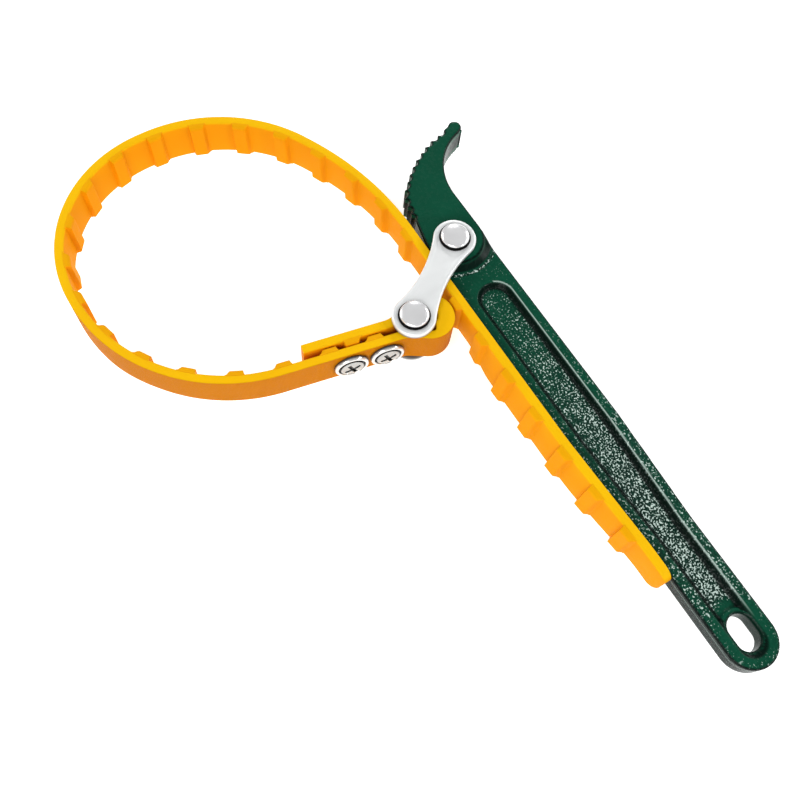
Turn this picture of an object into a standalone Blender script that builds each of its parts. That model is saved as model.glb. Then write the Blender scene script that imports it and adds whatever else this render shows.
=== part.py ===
"""A belt-type oil filter wrench: cast handle with a serrated hook jaw, two links, and a toothed strap.

Metres, +Z along the pins. The layout is drawn from the pivot pin, with +X down the handle, and the whole
wrench then hangs from one empty that puts its box's bottom centre at the origin.
"""

import math

import bmesh
import bpy
from mathutils import Matrix, Vector

# Toothed strap
BELT_WIDTH = 0.0150
BELT_BASE = 0.0034
TOOTH_HEIGHT = 0.0019
TOOTH_LENGTH = 0.0054
TOOTH_PITCH = 0.0168
TOOTH_FLANK = 0.0005
FIRST_TOOTH = 0.0196
LOOP_REACH = 0.1017
LOOP_DEPTH = 0.1320
LOOP_TOP_X = -0.0645
LOOP_TOP_DROP = 0.0114
LOOP_TOP_SLOPE = math.radians(27)
NECK_RADIUS = 0.114
SHOULDER_RADIUS = 0.060
BOTTOM_LEFT_RADIUS = 0.053
BOTTOM_RIGHT_RADIUS = 0.064
TAIL_BEND_RADIUS = 0.100
TAIL_END = 0.1422
TAIL_CORNER_RADIUS = 0.0045
TAIL_SPLIT = 0.0015

# Eye of the strap, in its own frame: along the clamp towards the fold, and out towards the handle's end
EYE_ANGLE = math.radians(78)
EYE_RADIUS = 0.0090
EYE_CENTRE = (0.0062, 0.0005)
CLAMP_START = -0.0043
FLAP_START = -0.0086
CLAMP_END = -0.0413
CLAMP_OUTER = 0.0061
LAYER_GAP = 0.0004
CLAMP_FILLET = 0.0100
FLAP_FILLET = 0.0080

# Links and pins
LINK_ANGLE = math.radians(-56.8)
LINK_THICKNESS = 0.0025
LINK_END_RADIUS = 0.0080
LINK_WAIST = 0.0102
PIVOT_PIN_RADIUS = 0.0030
STRAP_PIN_RADIUS = 0.0016
PIN_HEAD_RADIUS = 0.0054
PIN_HEAD_HEIGHT = 0.0022
PIN_HEAD_RIM = 0.0007
RIVETED_HEAD_RADIUS = 0.0044
RIVETED_HEAD_HEIGHT = 0.0011
RIVETED_FACE_SHARE = 0.7
PIN_WASHER_RADIUS = 0.0062
PIN_WASHER_THICKNESS = 0.0008
SLEEVE_WALL = 0.0005
COLLAR_RADIUS = 0.0068

# Handle casting
HANDLE_LENGTH = 0.1805
HANDLE_CENTRE_Y = 0.0018
BEAM_HALF_WIDTH = 0.0113
GRIP_HALF_WIDTH = 0.0096
BEAM_TAPER = (0.086, 0.130)
BEAM_THICKNESS = 0.0080
HEAD_THICKNESS = 0.0124
BOSS_CENTRE = (-0.0023, 0.0019)
BOSS_RADIUS = 0.0113
HOOK_CENTRE = (-0.0190, 0.0380)
HOOK_TIP_ANGLE = math.radians(191)
TIP_CENTRE = (-0.0459, 0.0310)
TIP_RADIUS = 0.0027
TIP_ARC = (math.radians(11), math.radians(235))
FLANK_CENTRE = (0.0, 0.0340)
FLANK_RADIUS = 0.0466
SERRATION_START = math.radians(189.5)
SERRATION_END = math.radians(235.5)
CURVED_SERRATIONS = 10
STRAIGHT_SERRATIONS = 3
SERRATION_DEPTH = 0.0013
SERRATION_SHAPE = ((0.05, -0.5), (0.40, 0.5), (0.60, 0.5))
SKIRT_RADIUS = 0.0148
SKIRT_LEDGE = 0.0001
RIM_WIDTH = 0.0042
RECESS_START = 0.0197
RECESS_DEPTH = 0.0022
RECESS_DRAFT = 0.0016
RECESS_END_WALL = 0.0036
SLOT_LENGTH = 0.0126
SLOT_WIDTH = 0.0086
SLOT_END_WALL = 0.0061
SLOT_PAD = 0.0012
SLOT_PAD_HEIGHT = 0.0014

# Fasteners of the eye
FASTENER_PLACES = (-0.0122, -0.0258)
OUTER_WASHER_RADIUS = 0.0064
OUTER_WASHER_THICKNESS = 0.0016
WASHER_SEAT_SHARE = 0.4
WASHER_EDGE_SHARE = 0.3
SCREW_HEAD_RADIUS = 0.0044
SCREW_HEAD_HEIGHT = 0.0013
CROWN_RADIUS_SHARE = 0.7
CROWN_DROP_SHARE = 0.2
HEAD_SIDE_SHARE = 0.3
SCREW_RADIUS = 0.0014
CROSS_WIDTH = 0.0011
CROSS_LENGTH = 0.0056
CROSS_DEPTH_SHARE = 0.6
INNER_WASHER_RADIUS = 0.0034
INNER_WASHER_THICKNESS = 0.0004
NUT_ACROSS_FLATS = 0.0052
NUT_FLANGE_THICKNESS = 0.0008
NUT_BARREL_RADIUS = 0.0023
NUT_BARREL_DEPTH = 0.0015

# Clearances
GAP = 0.0003
STRAP_SIDE_GAP = 0.0005
NECK_GAP = 0.0005
EYE_TOP_GAP = 0.0005
PIN_FIT = 0.0003

TURNED_STEPS = 40
DOME_STEPS = 6
ARC_STEP = math.radians(6)
COARSE_STEP = math.radians(12)
CLOSEST_STATIONS = 0.00001
SEARCH_STEPS = 4000

HEAD_TOP = HEAD_THICKNESS / 2
BEAM_TOP = BEAM_THICKNESS / 2
STRAP_TOP = BELT_WIDTH / 2
LINK_INNER = STRAP_TOP + STRAP_SIDE_GAP
LINK_OUTER = LINK_INNER + LINK_THICKNESS
NECK_Y = BOSS_CENTRE[1] - BOSS_RADIUS - NECK_GAP
CLAMP_THICKNESS = 2 * BELT_BASE + TOOTH_HEIGHT + LAYER_GAP
EYE_RISE = EYE_CENTRE[0] * math.sin(EYE_ANGLE) - EYE_CENTRE[1] * math.cos(EYE_ANGLE) + EYE_RADIUS
LINK_CENTRES = (BELT_BASE + TOOTH_HEIGHT + EYE_TOP_GAP + EYE_RISE - NECK_Y) / math.sin(-LINK_ANGLE)
PIVOT = Vector((0.0, 0.0))
STRAP_PIN = LINK_CENTRES * Vector((math.cos(LINK_ANGLE), math.sin(LINK_ANGLE)))
ALONG = Vector((math.cos(EYE_ANGLE), math.sin(EYE_ANGLE)))
ACROSS = Vector((math.sin(EYE_ANGLE), -math.cos(EYE_ANGLE)))


def clear_scene():
    for obj in list(bpy.data.objects):
        bpy.data.objects.remove(obj, do_unlink=True)
    for name in ("OilFilterWrench", "Cutters"):
        collection = bpy.data.collections.new(name)
        bpy.context.scene.collection.children.link(collection)


def material(name, colour, roughness, metallic):
    made = bpy.data.materials.new(name)
    made.use_nodes = True
    shader = made.node_tree.nodes["Principled BSDF"]
    shader.inputs["Base Color"].default_value = (*colour, 1.0)
    shader.inputs["Roughness"].default_value = roughness
    shader.inputs["Metallic"].default_value = metallic
    return made


def place(obj, look=None, collection="OilFilterWrench"):
    """Puts an object in its collection and gives it its material."""
    bpy.data.collections[collection].objects.link(obj)
    if look:
        obj.data.materials.clear()
        obj.data.materials.append(look)
    return obj


def slab(name, outline, bottom, top, look=None, collection="OilFilterWrench"):
    """A flat outline with thickness, made as a filled 2D curve and then turned into a closed mesh."""
    curve = bpy.data.curves.new(name, "CURVE")
    curve.dimensions = "2D"
    curve.fill_mode = "BOTH"
    curve.extrude = (top - bottom) / 2
    spline = curve.splines.new("POLY")
    spline.points.add(len(outline) - 1)
    for point, (x, y) in zip(spline.points, outline):
        point.co = (x, y, 0.0, 1.0)
    spline.use_cyclic_u = True
    guide = bpy.data.objects.new(name + "_outline", curve)
    bpy.context.scene.collection.objects.link(guide)
    bpy.context.view_layer.update()
    graph = bpy.context.evaluated_depsgraph_get()
    mesh = bpy.data.meshes.new_from_object(guide.evaluated_get(graph))
    mesh.name = name
    bpy.data.objects.remove(guide, do_unlink=True)
    shape = bmesh.new()
    shape.from_mesh(mesh)
    bmesh.ops.remove_doubles(shape, verts=shape.verts, dist=1e-7)
    for side in (-1, 1):
        # One flat face at each end leaves the filling no slivers to make along the straight runs.
        cap = [face for face in shape.faces if all(side * vertex.co.z > 1e-6 for vertex in face.verts)]
        bmesh.ops.dissolve_faces(shape, faces=cap)
    bmesh.ops.translate(shape, verts=shape.verts, vec=(0, 0, (top + bottom) / 2))
    bmesh.ops.recalc_face_normals(shape, faces=shape.faces)
    shape.to_mesh(mesh)
    shape.free()
    return place(bpy.data.objects.new(name, mesh), look, collection)


def turned(name, profile, look=None, closed=False, collection="OilFilterWrench"):
    """A turned shape: the profile, (radius, height) from top to bottom, swept round Z by a Screw."""
    mesh = bpy.data.meshes.new(name)
    edges = [(i, i + 1) for i in range(len(profile) - 1)]
    if closed:
        edges.append((len(profile) - 1, 0))
    mesh.from_pydata([(radius, 0.0, height) for radius, height in profile], edges, [])
    obj = place(bpy.data.objects.new(name, mesh), None, collection)
    screw = obj.modifiers.new("Turn", "SCREW")
    screw.steps = screw.render_steps = TURNED_STEPS
    screw.use_merge_vertices = True
    screw.merge_threshold = 0.00001
    bpy.context.view_layer.update()
    obj.data = bpy.data.meshes.new_from_object(obj.evaluated_get(bpy.context.evaluated_depsgraph_get()))
    obj.modifiers.clear()
    obj.data.shade_smooth()
    obj.data.set_sharp_from_angle(angle=math.radians(35))
    if look:
        obj.data.materials.append(look)
    return obj


def as_cutter(obj):
    obj.hide_render = True
    obj.display_type = "WIRE"
    return obj


def cut(obj, cutter, operation="DIFFERENCE"):
    boolean = obj.modifiers.new(cutter.name, "BOOLEAN")
    boolean.operation = operation
    boolean.solver = "EXACT"
    boolean.object = cutter


def arc(centre, radius, start, end, step=ARC_STEP):
    """Points along a circular arc, both ends included."""
    count = max(2, math.ceil(abs(end - start) / step) + 1)
    angles = [start + (end - start) * i / (count - 1) for i in range(count)]
    return [(centre[0] + radius * math.cos(a), centre[1] + radius * math.sin(a)) for a in angles]


def meeting(point, heading, other, other_heading):
    """Where two straight lines cross."""
    along = Vector((math.cos(heading), math.sin(heading)))
    across = Vector((math.sin(other_heading), -math.cos(other_heading)))
    distance = (Vector(other) - Vector(point)).dot(across) / along.dot(across)
    return Vector(point) + distance * along


class Route:
    """A line through corners, each rounded by an arc, measured by the length along it."""

    def __init__(self, corners):
        self.pieces = []
        self.length = 0.0
        last = Vector(corners[0][0])
        for before, (corner, radius), after in zip(corners, corners[1:], corners[2:]):
            corner = Vector(corner)
            arriving = (corner - Vector(before[0])).normalized()
            leaving = (Vector(after[0]) - corner).normalized()
            turn = math.atan2(arriving.cross(leaving), arriving.dot(leaving))
            setback = radius * math.tan(abs(turn) / 2)
            self.add_line(last, corner - setback * arriving)
            side = Vector((-arriving.y, arriving.x)) * math.copysign(radius, turn)
            centre = corner - setback * arriving + side
            start = math.atan2(-side.y, -side.x)
            self.add_piece(("arc", centre, radius, start, turn), radius * abs(turn))
            last = corner + setback * leaving
        self.add_line(last, Vector(corners[-1][0]))

    def add_piece(self, shape, length):
        self.pieces.append((self.length, length, shape))
        self.length += length

    def add_line(self, start, end):
        length = (end - start).length
        if length > CLOSEST_STATIONS:
            self.add_piece(("line", start, (end - start) / length), length)

    def at(self, distance):
        """The point at a distance along the route, and the direction to its left."""
        for begin, length, shape in self.pieces:
            if distance <= begin + length + 1e-9:
                break
        distance -= begin
        if shape[0] == "line":
            return shape[1] + distance * shape[2], Vector((-shape[2].y, shape[2].x))
        _, centre, radius, start, turn = shape
        angle = start + turn * distance / length
        out = Vector((math.cos(angle), math.sin(angle)))
        return centre + radius * out, -out if turn > 0 else out

    def under(self, length):
        """The distance along the route where the toothed face, which bends tighter, has run a given length."""
        for begin, whole, shape in self.pieces:
            share = 1.0 if shape[0] == "line" else 1.0 - math.copysign(BELT_BASE / shape[2], shape[4])
            if length <= whole * share:
                return begin + length / share
            length -= whole * share
        return self.length

    def stations(self, start, end):
        """The distances that draw the route truly between two others: line ends, and steps along arcs."""
        found = {start, end}
        for begin, length, shape in self.pieces:
            steps = 1 if shape[0] == "line" else math.ceil(abs(shape[4]) / ARC_STEP)
            for i in range(steps + 1):
                distance = begin + length * i / steps
                if start + CLOSEST_STATIONS < distance < end - CLOSEST_STATIONS:
                    found.add(distance)
        kept = []
        for distance in sorted(found):
            if not kept or distance > kept[-1] + CLOSEST_STATIONS:
                kept.append(distance)
        return kept

    def nearest(self, point, start=0.0, end=None):
        """The distance along the route that is nearest to a point."""
        end = self.length if end is None else end
        tries = [start + (end - start) * i / SEARCH_STEPS for i in range(SEARCH_STEPS + 1)]
        return min(tries, key=lambda s: (self.at(s)[0] - Vector(point)).length)


def eye_point(along, across):
    return STRAP_PIN + along * ALONG + across * ACROSS


def edge_y(x):
    """The lower side of the handle's beam, which the strap's tail lies along."""
    share = min(max((x - BEAM_TAPER[0]) / (BEAM_TAPER[1] - BEAM_TAPER[0]), 0.0), 1.0)
    half_width = BEAM_HALF_WIDTH + (GRIP_HALF_WIDTH - BEAM_HALF_WIDTH) * share
    return HANDLE_CENTRE_Y - half_width


def tangent_slope(point, left):
    """The slope, in the eye's frame, of the line from a point that touches the eye's circle."""
    toward = Vector((EYE_CENTRE[0] - point[0], EYE_CENTRE[1] - point[1]))
    spread = math.asin(EYE_RADIUS / toward.length)
    return math.atan2(toward.y, toward.x) + (-spread if left else spread)


def strap_route():
    """The strap's smooth back, from the tail's end round the loop and the eye to the flap's end."""
    tail_y = min(edge_y(0.0) - GAP, NECK_Y)
    drop = tail_y - edge_y(0.0)
    neck = (0.0, tail_y)
    loop_top = (LOOP_TOP_X, tail_y - LOOP_TOP_DROP)
    shoulder = meeting(neck, math.pi, loop_top, LOOP_TOP_SLOPE)
    far_top = meeting(loop_top, LOOP_TOP_SLOPE, (-LOOP_REACH, 0.0), math.pi / 2)
    outer = (CLAMP_START, CLAMP_OUTER)
    inner = (FLAP_START, CLAMP_OUTER - CLAMP_THICKNESS)
    near_bottom = meeting((0.0, -LOOP_DEPTH), 0.0, eye_point(*outer), EYE_ANGLE)
    crown = EYE_CENTRE[0] + EYE_RADIUS
    outer_rise = (crown - outer[0]) * math.tan(tangent_slope(outer, False))
    inner_rise = (crown - inner[0]) * math.tan(tangent_slope(inner, True))
    return Route(
        [
            ((TAIL_END, edge_y(TAIL_END) + drop), 0.0),
            ((BEAM_TAPER[1], edge_y(BEAM_TAPER[1]) + drop), TAIL_BEND_RADIUS),
            ((BEAM_TAPER[0], tail_y), TAIL_BEND_RADIUS),
            (shoulder, NECK_RADIUS),
            (far_top, SHOULDER_RADIUS),
            ((-LOOP_REACH, -LOOP_DEPTH), BOTTOM_LEFT_RADIUS),
            (near_bottom, BOTTOM_RIGHT_RADIUS),
            (eye_point(*outer), CLAMP_FILLET),
            (eye_point(crown, outer[1] + outer_rise), EYE_RADIUS),
            (eye_point(crown, inner[1] + inner_rise), EYE_RADIUS),
            (eye_point(*inner), FLAP_FILLET),
            (eye_point(CLAMP_END, inner[1]), 0.0),
        ]
    )


def tooth_places(route):
    """The middle of each tooth along the route.

    The teeth keep their pitch along the strap's inner face, with none where one would touch the sleeve.
    The flap's teeth sit halfway between the strap's, so that the two sides mesh where they are clamped.
    """
    room = STRAP_PIN_RADIUS + PIN_FIT + SLEEVE_WALL + BELT_BASE + TOOTH_HEIGHT + TOOTH_LENGTH / 2
    clamp = route.nearest(eye_point(CLAMP_START, CLAMP_OUTER), start=route.length * 0.8)
    flap_start = route.nearest(eye_point(FLAP_START, CLAMP_OUTER - CLAMP_THICKNESS), start=clamp)
    places = []
    for number in range(math.floor(route.length / TOOTH_PITCH)):
        middle = route.under(FIRST_TOOTH + number * TOOTH_PITCH)
        if middle < flap_start - TOOTH_LENGTH and (route.at(middle)[0] - STRAP_PIN).length > room:
            places.append(middle)
    nearest = max(s for s in places if s < clamp)
    along = (route.at(nearest)[0] - STRAP_PIN).dot(ALONG) + 0.5 * TOOTH_PITCH
    while along - TOOTH_LENGTH / 2 > CLAMP_END:
        if along < FLAP_START:
            places.append(route.nearest(eye_point(along, CLAMP_OUTER - CLAMP_THICKNESS), start=clamp))
        along -= TOOTH_PITCH
    return places


def strap_outline(route, teeth, start, end):
    """The strap's edge between two distances: its smooth back, then its toothed face the other way."""
    back = [route.at(s)[0] for s in route.stations(start, end)]
    depth_at = {s: BELT_BASE for s in route.stations(start, end)}
    steps = []
    for middle in teeth:
        low = middle - TOOTH_LENGTH / 2
        high = middle + TOOTH_LENGTH / 2
        if low < start or high > end:
            continue
        for s in list(depth_at):
            if low - TOOTH_FLANK <= s <= high + TOOTH_FLANK:
                del depth_at[s]
                if low < s < high:
                    steps.append((s, BELT_BASE + TOOTH_HEIGHT))
        steps += [(low - TOOTH_FLANK, BELT_BASE), (low, BELT_BASE + TOOTH_HEIGHT)]
        steps += [(high, BELT_BASE + TOOTH_HEIGHT), (high + TOOTH_FLANK, BELT_BASE)]
    steps += list(depth_at.items())
    front = []
    for s, depth in sorted(steps, reverse=True):
        point, left = route.at(min(max(s, start), end))
        front.append(point + depth * left)
    return back + front


def serrated(start, end, count):
    """Teeth along the flank between two points of it, standing out to the right of the way along."""
    points = []
    step = (end - start) / count
    outward = Vector((step.y, -step.x)).normalized()
    for i in range(count):
        for share, inward in SERRATION_SHAPE:
            points.append(start + (i + share) * step - inward * SERRATION_DEPTH * outward)
    return points


def head_outline():
    """The hook jaw and the boss: round the boss, up the hook to the tip, and down the serrated flank."""
    boss_top = BOSS_CENTRE[1] + BOSS_RADIUS
    hook_radius = HOOK_CENTRE[1] - boss_top
    points = arc(BOSS_CENTRE, BOSS_RADIUS, -math.pi / 2, math.pi / 2)
    points += arc(HOOK_CENTRE, hook_radius, 1.5 * math.pi, HOOK_TIP_ANGLE)
    points += arc(TIP_CENTRE, TIP_RADIUS, *TIP_ARC, step=math.radians(20))
    pitch = (SERRATION_END - SERRATION_START) / CURVED_SERRATIONS
    flank = []
    for i in range(CURVED_SERRATIONS + 1):
        angle = SERRATION_START + i * pitch
        flank.append(Vector(FLANK_CENTRE) + FLANK_RADIUS * Vector((math.cos(angle), math.sin(angle))))
    for start, end in zip(flank, flank[1:]):
        points += serrated(start, end, 1)
    boss_foot = Vector((BOSS_CENTRE[0], BOSS_CENTRE[1] - BOSS_RADIUS))
    heel = flank[-1] + (boss_foot - flank[-1]).normalized() * pitch * FLANK_RADIUS * STRAIGHT_SERRATIONS
    points += serrated(flank[-1], heel, STRAIGHT_SERRATIONS)
    points.append(heel)
    return points


def skirt_outline(radius):
    """The half of the boss that faces down the beam, kept inside the beam's sides."""
    reach = BEAM_HALF_WIDTH - SKIRT_LEDGE
    points = []
    for x, y in arc(BOSS_CENTRE, radius, -math.pi / 2, math.pi / 2):
        points.append((x, min(max(y, HANDLE_CENTRE_Y - reach), HANDLE_CENTRE_Y + reach)))
    return points


def beam_outline():
    """The handle's beam, from under the boss to its round end."""
    end = (HANDLE_LENGTH - GRIP_HALF_WIDTH, HANDLE_CENTRE_Y)
    lower = [(0.0, edge_y(0.0)), (BEAM_TAPER[0], edge_y(0.0)), (BEAM_TAPER[1], edge_y(HANDLE_LENGTH))]
    upper = [(x, 2 * HANDLE_CENTRE_Y - y) for x, y in reversed(lower)]
    return lower + arc(end, GRIP_HALF_WIDTH, -math.pi / 2, math.pi / 2) + upper


def recess_outline(inset):
    """The sunk panel of the beam, inset from its rim."""
    half = BEAM_HALF_WIDTH - RIM_WIDTH - inset
    small = GRIP_HALF_WIDTH - RIM_WIDTH - inset
    start = (RECESS_START + BEAM_HALF_WIDTH - RIM_WIDTH, HANDLE_CENTRE_Y)
    end = (HANDLE_LENGTH - RECESS_END_WALL - GRIP_HALF_WIDTH + RIM_WIDTH, HANDLE_CENTRE_Y)
    left = arc(start, half, 1.5 * math.pi, math.pi / 2)
    right = arc(end, small, math.pi / 2, -math.pi / 2)
    upper = [(BEAM_TAPER[0], HANDLE_CENTRE_Y + half), (BEAM_TAPER[1], HANDLE_CENTRE_Y + small)]
    lower = [(x, 2 * HANDLE_CENTRE_Y - y) for x, y in reversed(upper)]
    return left + upper + right + lower


def slot_outline(grow=0.0):
    radius = SLOT_WIDTH / 2 + grow
    far = (HANDLE_LENGTH - SLOT_END_WALL - SLOT_WIDTH / 2, HANDLE_CENTRE_Y)
    near = (far[0] - SLOT_LENGTH + SLOT_WIDTH, HANDLE_CENTRE_Y)
    outer_end = arc(far, radius, -math.pi / 2, math.pi / 2, COARSE_STEP)
    return outer_end + arc(near, radius, math.pi / 2, 1.5 * math.pi, COARSE_STEP)


def loft(name, sections):
    """A closed shape through outlines at several heights, each with the same number of points."""
    shape = bmesh.new()
    rings = []
    for outline, height in sections:
        rings.append([shape.verts.new((x, y, height)) for x, y in outline])
    count = len(rings[0])
    for low, high in zip(rings, rings[1:]):
        for i in range(count):
            j = (i + 1) % count
            shape.faces.new((low[i], low[j], high[j], high[i]))
    shape.faces.new(rings[0])
    shape.faces.new(rings[-1])
    bmesh.ops.recalc_face_normals(shape, faces=shape.faces)
    mesh = bpy.data.meshes.new(name)
    shape.to_mesh(mesh)
    shape.free()
    return as_cutter(place(bpy.data.objects.new(name, mesh), None, "Cutters"))


def rod(name, radius, bottom, top, at=PIVOT, collection="Cutters"):
    obj = turned(name, [(0.0, top), (radius, top), (radius, bottom), (0.0, bottom)], None, False, collection)
    obj.location = (at[0], at[1], 0.0)
    return as_cutter(obj)


def ring_profile(inner, outer, bottom, top):
    return [(inner, top), (outer, top), (outer, bottom), (inner, bottom)]


def make_handle(look):
    handle = slab("handle", beam_outline(), -BEAM_TOP, BEAM_TOP, look)
    head = as_cutter(slab("handle_head", head_outline(), -HEAD_TOP, HEAD_TOP, None, "Cutters"))
    cut(handle, head, "UNION")
    top = skirt_outline(BOSS_RADIUS - SKIRT_LEDGE)
    foot = skirt_outline(SKIRT_RADIUS)
    skirt_top = HEAD_TOP - SKIRT_LEDGE
    sections = [(top, -skirt_top), (foot, -BEAM_TOP), (foot, BEAM_TOP), (top, skirt_top)]
    cut(handle, loft("boss_skirt", sections), "UNION")
    floor = BEAM_TOP - RECESS_DEPTH
    above = BEAM_TOP + GAP
    over = RECESS_DRAFT * GAP / RECESS_DEPTH
    for side, name in ((1, "front"), (-1, "back")):
        sections = [(recess_outline(RECESS_DRAFT), side * floor), (recess_outline(-over), side * above)]
        cut(handle, loft(name + "_recess", sections))
        low = min(side * (floor - GAP), side * (floor + SLOT_PAD_HEIGHT))
        high = max(side * (floor - GAP), side * (floor + SLOT_PAD_HEIGHT))
        pad = as_cutter(slab(name + "_slot_pad", slot_outline(SLOT_PAD), low, high, None, "Cutters"))
        cut(handle, pad, "UNION")
    slot = as_cutter(slab("hang_slot", slot_outline(), -BEAM_THICKNESS, BEAM_THICKNESS, None, "Cutters"))
    cut(handle, slot)
    cut(handle, rod("pivot_bore", PIVOT_PIN_RADIUS + PIN_FIT, -HEAD_THICKNESS, HEAD_THICKNESS))
    return handle


def link_outline():
    """A dog-bone in its own frame, from the pivot pin at the origin to the strap pin on +X."""
    spread = (LINK_CENTRES / 2) ** 2 + (LINK_WAIST / 2) ** 2 - LINK_END_RADIUS**2
    fillet = spread / (2 * LINK_END_RADIUS - LINK_WAIST)
    middle = (LINK_CENTRES / 2, fillet + LINK_WAIST / 2)
    touch = math.atan2(middle[1], middle[0])
    points = arc((LINK_CENTRES, 0.0), LINK_END_RADIUS, touch - math.pi, math.pi - touch, COARSE_STEP)
    points += arc(middle, fillet, -touch, touch - math.pi)[1:-1]
    points += arc(PIVOT, LINK_END_RADIUS, touch, 2 * math.pi - touch, COARSE_STEP)
    low = arc((middle[0], -middle[1]), fillet, math.pi - touch, touch)[1:-1]
    return points + low


def make_link(name, bottom, look):
    link = slab(name, link_outline(), bottom, bottom + LINK_THICKNESS, look)
    link.rotation_euler.z = LINK_ANGLE
    low = bottom - GAP
    high = bottom + LINK_THICKNESS + GAP
    cut(link, rod(name + "_pivot_hole", PIVOT_PIN_RADIUS + PIN_FIT, low, high))
    cut(link, rod(name + "_strap_hole", STRAP_PIN_RADIUS + PIN_FIT, low, high, STRAP_PIN))
    return link


def make_pin(name, radius, at, look):
    """A rivet with a domed head in front and a flatter formed head behind."""
    head = LINK_OUTER + GAP
    tail = -LINK_OUTER - 2 * GAP - PIN_WASHER_THICKNESS
    dome = PIN_HEAD_HEIGHT - PIN_HEAD_RIM
    profile = []
    for i in range(DOME_STEPS + 1):
        angle = i / DOME_STEPS * math.pi / 2
        height = head + PIN_HEAD_RIM + dome * math.cos(angle)
        profile.append((PIN_HEAD_RADIUS * math.sin(angle), height))
    profile += [(PIN_HEAD_RADIUS, head), (radius, head), (radius, tail), (RIVETED_HEAD_RADIUS, tail)]
    bottom = tail - RIVETED_HEAD_HEIGHT
    profile += [(RIVETED_HEAD_RADIUS * RIVETED_FACE_SHARE, bottom), (0.0, bottom)]
    pin = turned(name, profile, look)
    pin.location = (at[0], at[1], 0.0)
    return pin


def make_ring(name, inner, outer, bottom, top, at, look):
    ring = turned(name, ring_profile(inner, outer, bottom, top), look, True)
    ring.location = (at[0], at[1], 0.0)
    return ring


def hexagon(across_flats):
    radius = across_flats / math.sqrt(3)
    return [(radius * math.cos(i * math.pi / 3), radius * math.sin(i * math.pi / 3)) for i in range(6)]


def fastener_frame(along):
    """The frame of a fastener on the strap's back: +Z out of the strap."""
    frame = Matrix.Identity(4)
    frame.col[0] = (*ALONG, 0.0, 0.0)
    frame.col[1] = (0.0, 0.0, 1.0, 0.0)
    frame.col[2] = (*ACROSS, 0.0, 0.0)
    frame.col[3] = (*eye_point(along, CLAMP_OUTER), 0.0, 1.0)
    return frame


def make_outer_washer(name, look):
    bore = SCREW_RADIUS + PIN_FIT
    seat = GAP + WASHER_SEAT_SHARE * OUTER_WASHER_THICKNESS
    top = GAP + OUTER_WASHER_THICKNESS
    profile = [(bore, seat), (SCREW_HEAD_RADIUS + GAP, seat), (SCREW_HEAD_RADIUS + 2 * GAP, top)]
    profile += [(OUTER_WASHER_RADIUS - 2 * GAP, top)]
    profile += [(OUTER_WASHER_RADIUS, GAP + WASHER_EDGE_SHARE * OUTER_WASHER_THICKNESS)]
    profile += [(OUTER_WASHER_RADIUS, GAP), (bore, GAP)]
    return turned(name, profile, look, True)


def make_screw(name, end, frame, look):
    """A cross-recessed pan head, with a plain shank that stands for the thread."""
    seat = 2 * GAP + WASHER_SEAT_SHARE * OUTER_WASHER_THICKNESS
    crown = seat + SCREW_HEAD_HEIGHT
    profile = [(0.0, crown)]
    profile += [(SCREW_HEAD_RADIUS * CROWN_RADIUS_SHARE, crown - CROWN_DROP_SHARE * SCREW_HEAD_HEIGHT)]
    profile += [(SCREW_HEAD_RADIUS, seat + HEAD_SIDE_SHARE * SCREW_HEAD_HEIGHT)]
    profile += [(SCREW_HEAD_RADIUS, seat), (SCREW_RADIUS, seat), (SCREW_RADIUS, end), (0.0, end)]
    screw = turned(name, profile, look)
    screw.matrix_world = frame
    low = crown - CROSS_DEPTH_SHARE * SCREW_HEAD_HEIGHT
    halves = (CROSS_LENGTH / 2, CROSS_WIDTH / 2)
    for number, (x, y) in enumerate((halves, halves[::-1])):
        blade_outline = [(-x, -y), (x, -y), (x, y), (-x, y)]
        blade = as_cutter(slab(f"{name}_cross_{number}", blade_outline, low, crown + GAP, None, "Cutters"))
        blade.matrix_world = frame
        cut(screw, blade)
    return screw


def make_nut(name, top, frame, look):
    """A low hexagon with a barrel that reaches into the strap, where the screw threads into it."""
    bottom = top - NUT_FLANGE_THICKNESS
    nut = slab(name, hexagon(NUT_ACROSS_FLATS), bottom, top, look)
    middle = top - NUT_FLANGE_THICKNESS / 2
    barrel = rod(name + "_barrel", NUT_BARREL_RADIUS, middle, -NUT_BARREL_DEPTH)
    bore = rod(name + "_bore", SCREW_RADIUS + PIN_FIT, bottom - GAP, GAP - NUT_BARREL_DEPTH)
    for obj in (nut, barrel, bore):
        obj.matrix_world = frame
    cut(nut, barrel, "UNION")
    cut(nut, bore)
    return nut


def make_fastener(number, along, zinc, steel):
    """One screw through both layers of the strap, with its washers and its barrel nut."""
    frame = fastener_frame(along)
    washer = make_outer_washer(f"outer_washer_{number}", zinc)
    washer_top = -CLAMP_THICKNESS - GAP
    washer_low = washer_top - INNER_WASHER_THICKNESS
    profile = ring_profile(NUT_BARREL_RADIUS + PIN_FIT, INNER_WASHER_RADIUS, washer_low, washer_top)
    inner = turned(f"inner_washer_{number}", profile, zinc, True)
    for obj in (washer, inner):
        obj.matrix_world = frame
    nut = make_nut(f"strap_nut_{number}", washer_low - GAP, frame, steel)
    screw = make_screw(f"strap_screw_{number}", washer_low - NUT_FLANGE_THICKNESS, frame, zinc)
    return [washer, screw, inner, nut]


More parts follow.
